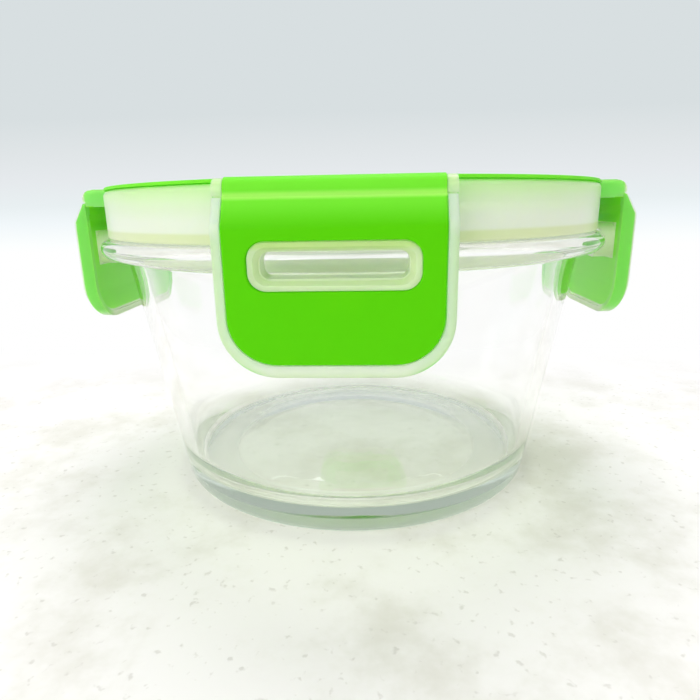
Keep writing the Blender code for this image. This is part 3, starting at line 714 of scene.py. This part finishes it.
bowl = turned("bowl_glass", bowl_section(), 256, GLASS)
bowl.data.set_sharp_from_angle(angle=radians(40))
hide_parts("glass_bowl")
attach(bowl, "bowl")
print("bowl faces:", len(bowl.data.polygons))

# %% [markdown]
# ## The mouldings
# Rounded corners show their facets too, so the lid and the latches are drawn again as they were made, with
# more steps to each curve. A moulding is built from two kinds of block: a turned body, and a prism, which is
# an outline with a depth. Blocks are joined to each other or cut out of each other.

# %% Prisms, cuts and soft edges
FLAT_ANGLE = radians(0.5)
SHARP_ANGLE = radians(35)
CUT_MARGIN = 1.0 * MM
SIDES = {"front": 0, "right": 90, "back": 180, "left": 270}


def prism(outline, view, low, high):
    """An outline seen from the side (outward, up) or from the front (across, up), given its depth."""
    bm = bmesh.new()
    ends = []
    for depth in (low, high):
        ends.append([bm.verts.new((depth, -u, v) if view == "side" else (u, -depth, v)) for u, v in outline])
    bm.faces.new(ends[0])
    bm.faces.new(ends[1])
    for i in range(len(outline)):
        bm.faces.new((ends[0][i - 1], ends[0][i], ends[1][i], ends[1][i - 1]))
    return ended("block", bm)


def combine(piece, tool, operation):
    """The piece with the tool joined to it or cut out of it; the tool goes."""
    boolean = piece.modifiers.new("Combine", "BOOLEAN")
    boolean.operation = operation
    boolean.object = tool
    boolean.solver = "EXACT"
    before = piece.data
    depsgraph = bpy.context.evaluated_depsgraph_get()
    piece.data = bpy.data.meshes.new_from_object(piece.evaluated_get(depsgraph))
    piece.modifiers.clear()
    piece.data.name = piece.name
    for used in (before, tool.data):
        bpy.data.meshes.remove(used)
    return piece


def cut(piece, tool):
    return combine(piece, tool, "DIFFERENCE")


def on_all_sides(piece):
    """Four of them, turned about the lid's axis."""
    bm = bmesh.new()
    for degrees in SIDES.values():
        copy = piece.data.copy()
        copy.transform(Matrix.Rotation(radians(degrees), 4, "Z"))
        bm.from_mesh(copy)
        bpy.data.meshes.remove(copy)
    bm.to_mesh(piece.data)
    bm.free()
    return piece


def soften_edges(piece, width, steps, wanted):
    """A rounded edge along each sharp edge whose middle is wanted."""
    bm = bmesh.new()
    bm.from_mesh(piece.data)
    bmesh.ops.dissolve_limit(bm, angle_limit=FLAT_ANGLE, verts=bm.verts, edges=bm.edges)
    sharp = [
        edge
        for edge in bm.edges
        if len(edge.link_faces) == 2
        and edge.calc_face_angle() > SHARP_ANGLE
        and wanted((edge.verts[0].co + edge.verts[1].co) / 2)
    ]
    bmesh.ops.bevel(bm, geom=sharp, offset=width, segments=steps, profile=0.5, affect="EDGES")
    bm.to_mesh(piece.data)
    bm.free()
    return piece


def box_outline(width, low, high, lower_corner, upper_corner, steps=12):
    """A rectangle about the middle whose lower and upper corners have their own radii; no radius, no arc."""
    half = width / 2
    corners = [(-half, low), (half, low), (half, high), (-half, high)]
    outline = []
    for i, radius in enumerate((lower_corner, lower_corner, upper_corner, upper_corner)):
        outline += rounded(corners, radius, i, steps) if radius else [corners[i]]
    return outline


def takes_over(piece, node, material, body):
    """The piece, shaded smooth across small angles and flat across large faces, in place of the node."""
    piece.data.materials.clear()
    piece.data.materials.append(material)
    piece.data.shade_smooth()
    piece.data.set_sharp_from_angle(angle=SHARP_ANGLE)
    weighted = piece.modifiers.new("Weighted", "WEIGHTED_NORMAL")
    weighted.keep_sharp = True
    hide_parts(node)
    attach(piece, body)
    return piece


# %% The lid's sizes and sections
LID_STEPS = 192
SKIRT_WALL = 1.6 * MM
SKIRT_EDGE = 1.5 * MM
SKIRT_FOOT_EDGE = 0.4 * MM
BAND_WALL = 2.6 * MM
BAND_SLOPE = (BAND_WALL - SKIRT_WALL) / 2
RING_WIDTH = 9.4 * MM
RING_SLOPE = 1.8 * MM
RECESS_DEPTH = 4.5 * MM
PANEL_THICKNESS = 1.6 * MM
PLUG_WALL = 1.6 * MM
PLUG_DEPTH = 3.7 * MM
PLUG_CLEARANCE = 0.5 * MM
PLUG_DRAFT = 0.4 * MM
CHANNEL_WALL = 1.5 * MM
MOULD_GAP = 0.2 * MM
LID_TOP = 88.0 * MM
TRIM_SETBACK = 0.3 * MM
TRIM_EDGE = 0.4 * MM
SEAL_GAP = 0.3 * MM
PANEL_TOP = RING_TOP - RECESS_DEPTH
GROOVE_TOP = PANEL_TOP - CHANNEL_WALL
RING_INNER_RADIUS = SKIRT_RADIUS - RING_WIDTH
TRIM_RADIUS = SKIRT_RADIUS - TRIM_SETBACK
PLUG_RADIUS = inner_radius(RIM_TOP - PLUG_DEPTH) - PLUG_CLEARANCE
CHANNEL_INNER = PLUG_RADIUS + PLUG_DRAFT + CHANNEL_WALL
CHANNEL_OUTER = SKIRT_RADIUS - SKIRT_WALL - CHANNEL_WALL


def panel_section():
    """Recessed middle, ring with a channel for the green layer, skirt, seal groove and plug."""
    line = [(0, PANEL_TOP), (RING_INNER_RADIUS - RING_SLOPE, PANEL_TOP), (RING_INNER_RADIUS, RING_TOP)]
    line += [(CHANNEL_INNER, RING_TOP), (CHANNEL_INNER, PANEL_TOP)]
    line += [(CHANNEL_OUTER, PANEL_TOP), (CHANNEL_OUTER, RING_TOP)]
    edge = [(CHANNEL_OUTER, RING_TOP), (SKIRT_RADIUS, RING_TOP), (SKIRT_RADIUS, SKIRT_BOTTOM)]
    line += rounded(edge, SKIRT_EDGE, 1, 8)
    foot_centre = (SKIRT_RADIUS - SKIRT_FOOT_EDGE, SKIRT_BOTTOM + SKIRT_FOOT_EDGE)
    line += arc(foot_centre, SKIRT_FOOT_EDGE, 0, -90, 4)
    line += [(SKIRT_RADIUS - BAND_WALL, SKIRT_BOTTOM), (SKIRT_RADIUS - BAND_WALL, BAND_TOP)]
    line += [(SKIRT_RADIUS - SKIRT_WALL, BAND_TOP + BAND_SLOPE)]
    line += [(SKIRT_RADIUS - SKIRT_WALL, GROOVE_TOP), (PLUG_RADIUS + PLUG_DRAFT, GROOVE_TOP)]
    tip = (PLUG_RADIUS - PLUG_WALL / 2, RIM_TOP - PLUG_DEPTH + PLUG_WALL / 2)
    line += arc(tip, PLUG_WALL / 2, 0, -180, 8)
    line += [(tip[0] - PLUG_WALL / 2, PANEL_TOP - PANEL_THICKNESS), (0, PANEL_TOP - PANEL_THICKNESS)]
    return line


def trim_section():
    """The green ring, with the rib under it that locks it into the panel's channel."""
    low = RING_TOP + MOULD_GAP
    inner = RING_INNER_RADIUS + TRIM_SETBACK
    rib_low = PANEL_TOP + MOULD_GAP
    rib_outer, rib_inner = CHANNEL_OUTER - MOULD_GAP, CHANNEL_INNER + MOULD_GAP
    line = arc((TRIM_RADIUS - TRIM_EDGE, LID_TOP - TRIM_EDGE), TRIM_EDGE, 90, 0, 6)
    line += [(TRIM_RADIUS, low), (rib_outer, low), (rib_outer, rib_low)]
    line += [(rib_inner, rib_low), (rib_inner, low), (inner, low)]
    line += arc((inner + TRIM_EDGE, LID_TOP - TRIM_EDGE), TRIM_EDGE, 180, 90, 6)
    return line


# %% The lid, with its four tongues
GRIP_WIDTH = 41.5 * MM
TONGUE_FRONT = 75.2 * MM
TONGUE_EDGE = 2.6 * MM
TONGUE_FACE_BOTTOM = 84.45 * MM
CORE_START = 0.5  # turns a round cutter so that its edges miss those of the body that it cuts


def chord_reach(radius, width):
    """How far out a circle still is at the ends of a chord of this width."""
    return sqrt(radius**2 - (width / 2) ** 2)


def tongue_section(front, top, inner, low):
    """A tongue in side view, with its rounded upper edge."""
    outline = [(inner, low), (front, low), (front, top), (inner, top)]
    return [outline[0], outline[1]] + rounded(outline, TONGUE_EDGE, 2, 12) + [outline[3]]


def draw_lid():
    root = SKIRT_RADIUS - SKIRT_WALL / 2
    inner = chord_reach(root, LATCH_WIDTH) - CUT_MARGIN
    border_top = LID_TOP - BORDER_STEP
    step = [(inner, TONGUE_LEVEL), (TONGUE_FRONT, TONGUE_LEVEL), (TONGUE_FRONT, TONGUE_FACE_BOTTOM)]
    step += [(TONGUE_REACH, TONGUE_FACE_BOTTOM), (TONGUE_REACH, border_top), (inner, border_top)]
    section = step[:4] + rounded(step, TONGUE_EDGE, 4, 12) + [step[5]]
    tongue = prism(section, "side", -LATCH_WIDTH / 2, LATCH_WIDTH / 2)
    # The tongue starts inside the skirt's wall and, above the panel, outside the green ring.
    clear_of_ring = TRIM_RADIUS + MOULD_GAP
    above = LID_TOP + CUT_MARGIN
    core_line = [(0, above), (clear_of_ring, above), (clear_of_ring, RING_TOP)]
    core_line += [(root, RING_TOP), (root, 0), (0, 0)]
    core = turned("core", core_line, LID_STEPS, start=CORE_START)
    below_face = TONGUE_FACE_BOTTOM - CUT_MARGIN
    layer = tongue_section(APRON_FRONT + CUT_MARGIN, above, inner - CUT_MARGIN, below_face)
    bed = tongue_section(TONGUE_FRONT, RING_TOP, 0, TONGUE_LEVEL - CUT_MARGIN)
    pocket_half = GRIP_WIDTH / 2 + MOULD_GAP
    pocket = prism(layer, "side", -pocket_half, pocket_half)
    cut(pocket, prism(bed, "side", -LATCH_WIDTH, LATCH_WIDTH))
    cut(tongue, core)
    cut(tongue, pocket)
    panel = turned("lid_moulding", panel_section(), LID_STEPS)
    return combine(panel, on_all_sides(tongue), "UNION")


def draw_trim():
    """The green layer: a ring, and on each tongue a sheet that is bent down over its front edge."""
    sheet_inner = chord_reach(TRIM_RADIUS, GRIP_WIDTH) - 2 * CUT_MARGIN
    top = tongue_section(APRON_FRONT, LID_TOP, sheet_inner, TONGUE_FACE_BOTTOM)
    bed = tongue_section(TONGUE_FRONT + MOULD_GAP, RING_TOP + MOULD_GAP, 0, TONGUE_FACE_BOTTOM - CUT_MARGIN)
    sheet = prism(top, "side", -GRIP_WIDTH / 2, GRIP_WIDTH / 2)
    cut(sheet, prism(bed, "side", -GRIP_WIDTH, GRIP_WIDTH))
    trim = turned("lid_green_layer", trim_section(), LID_STEPS, closed=True)
    return combine(trim, on_all_sides(sheet), "UNION")


lid = takes_over(draw_lid(), "lid_panel", LID_PLASTIC, "lid")
trim = takes_over(draw_trim(), "lid_trim", GREEN, "lid")
print("lid faces:", len(lid.data.polygons), len(trim.data.polygons))

# %% The seal in its groove
SEAL_BOTTOM = RIM_TOP + SEAL_GAP
SEAL_LIP_WIDTH = 0.7 * MM
SEAL_LIP_TAPER = 0.3 * MM
SEAL_LIP_SPACING = 2.1 * MM
SEAL_NOTCH = 1.4 * MM


def seal_section():
    """A square body held in the groove, and two lips that press on the glass."""
    top = GROOVE_TOP - SEAL_GAP
    inner = PLUG_RADIUS + PLUG_DRAFT + SEAL_GAP
    outer = SKIRT_RADIUS - SKIRT_WALL - SEAL_GAP
    waist = SKIRT_RADIUS - BAND_WALL - SEAL_GAP
    lip_top = SEAL_BOTTOM + SEAL_NOTCH
    line = [(inner, top), (outer, top), (outer, BAND_TOP + BAND_SLOPE + SEAL_GAP), (waist, BAND_TOP)]
    for lip_outer in (waist, waist - SEAL_LIP_SPACING):
        tip_outer = lip_outer - SEAL_LIP_TAPER
        tip_inner = tip_outer - SEAL_LIP_WIDTH
        line += [(lip_outer, lip_top), (tip_outer, SEAL_BOTTOM), (tip_inner, SEAL_BOTTOM)]
        line.append((tip_inner - SEAL_LIP_TAPER, lip_top))
    return line + [(inner, lip_top + SEAL_NOTCH / 2)]


seal = turned("lid_seal", seal_section(), LID_STEPS, closed=True)
takes_over(seal, "seal_ring", SILICONE, "lid")
print("seal faces:", len(seal.data.polygons))

# %% The latches' sizes
LATCH_TOP = 84.15 * MM
LATCH_FOOT_REACH = 78.85 * MM
SHOULDER_RADIUS = 3.0 * MM
FACE_HEIGHT = 21.0 * MM
FOOT_BEND_RADIUS = 8.0 * MM
FRAME_BACK = 75.5 * MM
FRAME_WALL = 2.8 * MM
EDGE_WALL = 1.6 * MM
FACE_EDGE = 0.9 * MM
GRIP_BOTTOM = 52.45 * MM
GRIP_THICKNESS = 1.0 * MM
GRIP_EDGE = 0.35 * MM
WINDOW_CORNER = 1.7 * MM
WINDOW_DEPTH = 1.3 * MM
WINDOW_LIP = 0.5 * MM
SURROUND_RIM = 0.3 * MM
SURROUND_BOTTOM = 2.1 * MM
SURROUND_CORNER = 3.3 * MM
HOOK_RADIUS = 73.3 * MM
BOSS_ROOT = 0.6 * MM
BOSS_BACK = chord_reach(HOOK_RADIUS, SURROUND_WIDTH) - CUT_MARGIN
NOSE_CLEARANCE = 0.4 * MM
FACE_TOLERANCE = 0.1 * MM
THROUGH_LATCH = (BOSS_BACK - CUT_MARGIN, LATCH_REACH + CUT_MARGIN)
ACROSS_LATCH = (-LATCH_WIDTH, LATCH_WIDTH)


def face_line(inset):
    """The latch's face in side view, from the hinge down, moved in by the inset."""
    hinge = (HINGE_RADIUS - inset, LATCH_TOP)
    shoulder = (LATCH_REACH - inset, SHOULDER_LEVEL)
    foot = (LATCH_REACH - inset, SHOULDER_LEVEL - FACE_HEIGHT)
    end = (LATCH_FOOT_REACH - inset, LATCH_BOTTOM)
    line = [hinge, shoulder, foot, end]
    return [hinge] + rounded(line, SHOULDER_RADIUS, 1, 8) + rounded(line, FOOT_BEND_RADIUS, 2, 4) + [end]


def on_face(point):
    """Whether a point lies on the latch's face or proud of it, away from the hinge."""
    line = face_line(0)
    reach = line[0][0] if point.z > line[0][1] else line[-1][0]
    for (r0, z0), (r1, z1) in zip(line, line[1:]):
        if z1 <= point.z <= z0:
            reach = r0 + (r1 - r0) * (z0 - point.z) / (z0 - z1)
    return -point.y > reach - FACE_TOLERANCE and point.z < LATCH_TOP - FACE_EDGE


def surround_outline(grow=0.0):
    low = WINDOW_BOTTOM - SURROUND_BOTTOM - grow
    high = WINDOW_TOP + SURROUND_TOP + grow
    return box_outline(SURROUND_WIDTH + 2 * grow, low, high, SURROUND_CORNER + grow, SURROUND_CORNER + grow)


# %% The green panel of a latch
def draw_grip():
    """A bent sheet that stands a little proud of the frame, with the surround cut out."""
    sheet_line = face_line(-BORDER_STEP) + face_line(GRIP_THICKNESS - BORDER_STEP)[::-1]
    grip = prism(sheet_line, "side", -GRIP_WIDTH / 2, GRIP_WIDTH / 2)
    shape = box_outline(GRIP_WIDTH, GRIP_BOTTOM, LATCH_TOP, GRIP_CORNER, 0)
    combine(grip, prism(shape, "front", *THROUGH_LATCH), "INTERSECT")
    cut(grip, prism(surround_outline(MOULD_GAP), "front", *THROUGH_LATCH))
    return soften_edges(grip, GRIP_EDGE, 4, on_face)


# %% The frosted frame of a latch
def draw_boss():
    """The ring behind the window: its lower rail is the hook that goes in under the glass flange."""
    low, high = HOOK_LEVELS
    outline = box_outline(SURROUND_WIDTH, low, high, SURROUND_CORNER, SURROUND_CORNER)
    boss = prism(outline, "front", BOSS_BACK, LATCH_REACH - FRAME_WALL + BOSS_ROOT)
    bore_top, bore_low = high + CUT_MARGIN, low - CUT_MARGIN
    bore_line = [(0, bore_top), (HOOK_RADIUS, bore_top), (HOOK_RADIUS, bore_low), (0, bore_low)]
    cut(boss, turned("bore", bore_line, LID_STEPS))
    reach = NOSE_RADIUS + NOSE_CLEARANCE
    inner = NOSE_CENTRE[0] - CUT_MARGIN
    nose_line = arc(NOSE_CENTRE, reach, 90, -90, 16)
    nose_line += [(inner, NOSE_CENTRE[1] - reach), (inner, NOSE_CENTRE[1] + reach)]
    nose = turned("nose", nose_line, LID_STEPS, closed=True, start=CORE_START)
    return cut(boss, nose)


def draw_funnel():
    """The slope from the surround's edge down to the window: a prism drawn in at its deep end."""
    deep = LATCH_REACH - WINDOW_DEPTH
    funnel = prism(surround_outline(-SURROUND_RIM), "front", deep, LATCH_REACH + CUT_MARGIN)
    centre = (WINDOW_BOTTOM + WINDOW_TOP) / 2
    window_height = WINDOW_TOP - WINDOW_BOTTOM
    tall = window_height + SURROUND_TOP + SURROUND_BOTTOM
    for vertex in funnel.data.vertices:
        if -vertex.co.y < LATCH_REACH:
            vertex.co.x *= (WINDOW_WIDTH + 2 * WINDOW_LIP) / SURROUND_WIDTH
            vertex.co.z = centre + (vertex.co.z - centre) * (window_height + 2 * WINDOW_LIP) / tall
    return funnel


def draw_frame():
    """Face, edge wall, hinge lip, window, surround and hook in one moulding."""
    side = face_line(0) + [(FRAME_BACK, LATCH_BOTTOM), (FRAME_BACK, LATCH_TOP)]
    latch = prism(side, "side", -LATCH_WIDTH / 2, LATCH_WIDTH / 2)
    shape = box_outline(LATCH_WIDTH, LATCH_BOTTOM, LATCH_TOP, LATCH_CORNER, 0)
    combine(latch, prism(shape, "front", *THROUGH_LATCH), "INTERSECT")
    soften_edges(latch, FACE_EDGE, 6, on_face)
    # The tray that lightens the back, inside the edge wall.
    behind = FRAME_BACK - CUT_MARGIN
    tray_side = face_line(FRAME_WALL) + [(behind, LATCH_BOTTOM), (behind, LATCH_TOP)]
    tray = prism(tray_side, "side", -LATCH_WIDTH / 2, LATCH_WIDTH / 2)
    tray_low, tray_high = LATCH_BOTTOM + EDGE_WALL, (HINGE_HEIGHT + SHOULDER_LEVEL) / 2
    corner = LATCH_CORNER - EDGE_WALL
    tray_shape = box_outline(LATCH_WIDTH - 2 * EDGE_WALL, tray_low, tray_high, corner, EDGE_WALL)
    combine(tray, prism(tray_shape, "front", *THROUGH_LATCH), "INTERSECT")
    cut(latch, tray)
    combine(latch, draw_boss(), "UNION")
    # The bed that the green panel lies in, left out round the window.
    before = LATCH_REACH + CUT_MARGIN
    bed_side = face_line(GRIP_THICKNESS - BORDER_STEP + MOULD_GAP)
    bed_side += [(before, LATCH_BOTTOM), (before, LATCH_TOP)]
    bed = prism(bed_side, "side", *ACROSS_LATCH)
    bed_low, bed_high = GRIP_BOTTOM - MOULD_GAP, LATCH_TOP + CUT_MARGIN
    bed_shape = box_outline(GRIP_WIDTH + 2 * MOULD_GAP, bed_low, bed_high, GRIP_CORNER + MOULD_GAP, 0)
    combine(bed, prism(bed_shape, "front", *THROUGH_LATCH), "INTERSECT")
    cut(bed, prism(surround_outline(), "front", *THROUGH_LATCH))
    cut(latch, bed)
    cut(latch, draw_funnel())
    window = box_outline(WINDOW_WIDTH, WINDOW_BOTTOM, WINDOW_TOP, WINDOW_CORNER, WINDOW_CORNER)
    return cut(latch, prism(window, "front", *THROUGH_LATCH))


# %% The four latches
def place_latches(first, kind, suffix, material):
    for side, degrees in SIDES.items():
        mesh = first.data.copy()
        mesh.name = f"{side}_{suffix}"
        mesh.transform(Matrix.Rotation(radians(degrees), 4, "Z"))
        piece = in_scene(mesh.name, mesh)
        takes_over(piece, f"latch_{kind}_{side}", material, f"latch_{side}")
    print(kind, "faces:", len(first.data.polygons))
    bpy.data.meshes.remove(first.data)


place_latches(draw_frame(), "frame", "latch", LATCH_PLASTIC)
place_latches(draw_grip(), "grip", "latch_green", GREEN)

# %% [markdown]
# ## The hinges
# Each latch hangs on a web of the lid's own plastic, thin enough to bend. The mechanism leaves it out, as a
# gap on the hinge's axis; here it is drawn as one fixed strip across that gap, in the green layer's finish.

# %% The webs
WEB_LINE = [(76.24, 85.0), (76.26, 84.6), (76.5, 84.32), (76.92, 84.1), (77.12, 83.8)]
WEB_BACK = [(76.6, 83.7), (76.1, 84.0), (75.9, 84.5), (75.9, 85.0)]  # outward and up, in millimetres
WEB_SHARP_ANGLE = radians(60)


def draw_web(side, degrees):
    web = prism([(u * MM, v * MM) for u, v in WEB_LINE + WEB_BACK], "side", -GRIP_WIDTH / 2, GRIP_WIDTH / 2)
    turn = Matrix.Rotation(radians(degrees), 4, "Z")
    web.data.transform(turn)
    web.name = web.data.name = f"{side}_hinge_web"
    web.data.materials.append(GREEN)
    web.data.set_sharp_from_angle(angle=WEB_SHARP_ANGLE)
    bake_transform(web)
    return web


for side, degrees in SIDES.items():
    web = draw_web(side, degrees)
print("web faces:", len(web.data.polygons))

# %% [markdown]
# ## The table and the light
# The container stands on a pale, faintly speckled table in front of a plain backdrop, under a broad soft
# light. Glass is drawn by what it reflects and bends, so the room is darker behind the camera than behind
# the container: that is what draws the thin dark lines at the rim and along the base.

# %% The table
TABLE_LEVEL = -0.05 * MM  # just under the foot, so that the two don't lie in one plane
TABLE_PALE = colour(254, 250, 250)
TABLE_CLOUD = colour(234, 230, 224)
TABLE_SPECK = colour(196, 190, 184)
CLOUD_RANGE = (0.42, 0.68)
SPECK_RANGE = (0.62, 0.74)
SPECK_STRENGTH = 0.4
BRIGHT_TABLE = (20 * MM, 130 * MM)  # behind the container the table melts into the white room
TABLE_SIDES = (-1.5, 0.9)  # how far it reaches towards the eye and away from it
TABLE_HALF = 1.5


def table_surface():
    finish = new_finish("pale_table")
    place = finish.place()
    cloud = finish.between(finish.noise(place, 22.0, detail=6.0, roughness=0.65), *CLOUD_RANGE)
    speck = finish.between(finish.noise(place, 420.0, detail=2.0), *SPECK_RANGE)
    base = finish.mixed(cloud, TABLE_PALE, TABLE_CLOUD)
    base = finish.mixed(speck * SPECK_STRENGTH, base, TABLE_SPECK)
    body = finish.node("BsdfPrincipled", {
        "Base Color": base, "Roughness": 0.7, "Specular IOR Level": 0.2,
    })
    away = finish.between(finish.part_of(place, "Y"), *BRIGHT_TABLE)
    return finish.surface(finish.either(away, body, finish.glow(WHITE)))


def sheet(name, corners, material):
    mesh = bpy.data.meshes.new(name)
    mesh.from_pydata(corners, [], [(0, 1, 2, 3)])
    mesh.materials.append(material)
    piece = in_scene(name, mesh)
    return piece


near, far = TABLE_SIDES
floor = [(-TABLE_HALF, near), (TABLE_HALF, near), (TABLE_HALF, far), (-TABLE_HALF, far)]
sheet("table", [(x, y, TABLE_LEVEL) for x, y in floor], table_surface())
print("table:", 2 * TABLE_HALF, "by", far - near, "m")

# %% The backdrop
BACKDROP_TOP = 250 * MM
BACKDROP_STOPS = [
    (0.0, colour(255, 255, 255)),
    (0.06, colour(252, 255, 255)),
    (0.22, colour(242, 248, 251)),
    (0.36, colour(233, 240, 242)),
    (0.55, colour(230, 234, 237)),
    (0.76, colour(224, 229, 231)),
    (1.0, colour(216, 223, 225)),
]
BACKDROP_HALF = 2.5
BACKDROP_HEIGHTS = (-0.3, 1.8)
END_RANGE = (0.8, 2.3)


def backdrop_surface():
    finish = new_finish("backdrop")
    place = finish.place()
    height = finish.part_of(place, "Z")
    tone = finish.node("ValToRGB", {0: height / BACKDROP_TOP}, {"stops": BACKDROP_STOPS})
    # Towards its ends the eye sees it fade into the white room, so that no edge shows from the side.
    camera_ray = finish.node("LightPath", output="Is Camera Ray")
    aside = finish.between(abs(finish.part_of(place, "X")), *END_RANGE)
    tone = finish.mixed(aside * camera_ray, tone, WHITE)
    matt = finish.node("BsdfDiffuse", {"Color": tone})
    bent_ray = finish.other(camera_ray, "Is Glossy Ray") + finish.other(camera_ray, "Is Transmission Ray")
    seen = finish.maths("MINIMUM", camera_ray + bent_ray, 1.0)
    return finish.surface(finish.either(seen, matt, finish.glow(tone)))


low, high = BACKDROP_HEIGHTS
wall = [(-BACKDROP_HALF, low), (BACKDROP_HALF, low), (BACKDROP_HALF, high), (-BACKDROP_HALF, high)]
sheet("backdrop", [(x, far, z) for x, z in wall], backdrop_surface())
print("backdrop:", 2 * BACKDROP_HALF, "by", high - low, "m")

# %% The lamps
LAMPS = {"overhead": ((0.0, 0.3, 0.95), 0.5, 4.0), "front_fill": ((-0.5, -0.8, 0.5), 0.6, 3.0)}


def lamp(name, place, size, power):
    """A round soft lamp at this place, in metres, that points at the foot of the container."""
    data = bpy.data.lights.new(name, "AREA")
    data.shape = "DISK"
    data.size = size
    data.energy = power
    light = in_scene(name, data)
    light.location = place
    light.rotation_euler = (-Vector(place)).to_track_quat("-Z", "Y").to_euler()
    return light


for name, (place, size, power) in LAMPS.items():
    lamp(name, place, size, power)
print("lamps:", list(LAMPS))

# %% The room's light
ROOM_LEVEL = 0.76
DARK_LEVEL = 0.25  # behind the camera, where somebody stands in front of the light
DARK_RANGE = (-0.96, -0.88)  # of a direction's part towards the camera


def room_light():
    world = bpy.data.worlds.new("room")
    bpy.context.scene.world = world
    finish = Finish(world)
    way = finish.node("TexCoord", output="Generated")
    dark, light = DARK_RANGE
    level = finish.node("MapRange", {
        "Value": finish.part_of(way, "Y"),
        "From Min": dark,
        "From Max": light,
        "To Min": DARK_LEVEL,
        "To Max": ROOM_LEVEL,
    })
    # The eye itself sees the dark part as white, like the rest of the room.
    camera_ray = finish.node("LightPath", output="Is Camera Ray")
    strength = finish.maths("MAXIMUM", level, camera_ray)
    background = finish.node("Background", {"Color": WHITE, "Strength": strength})
    finish.node("OutputWorld", {"Surface": background})
    return world


bpy.context.scene.view_settings.view_transform = "Standard"
print("room:", room_light().name, "at", ROOM_LEVEL)
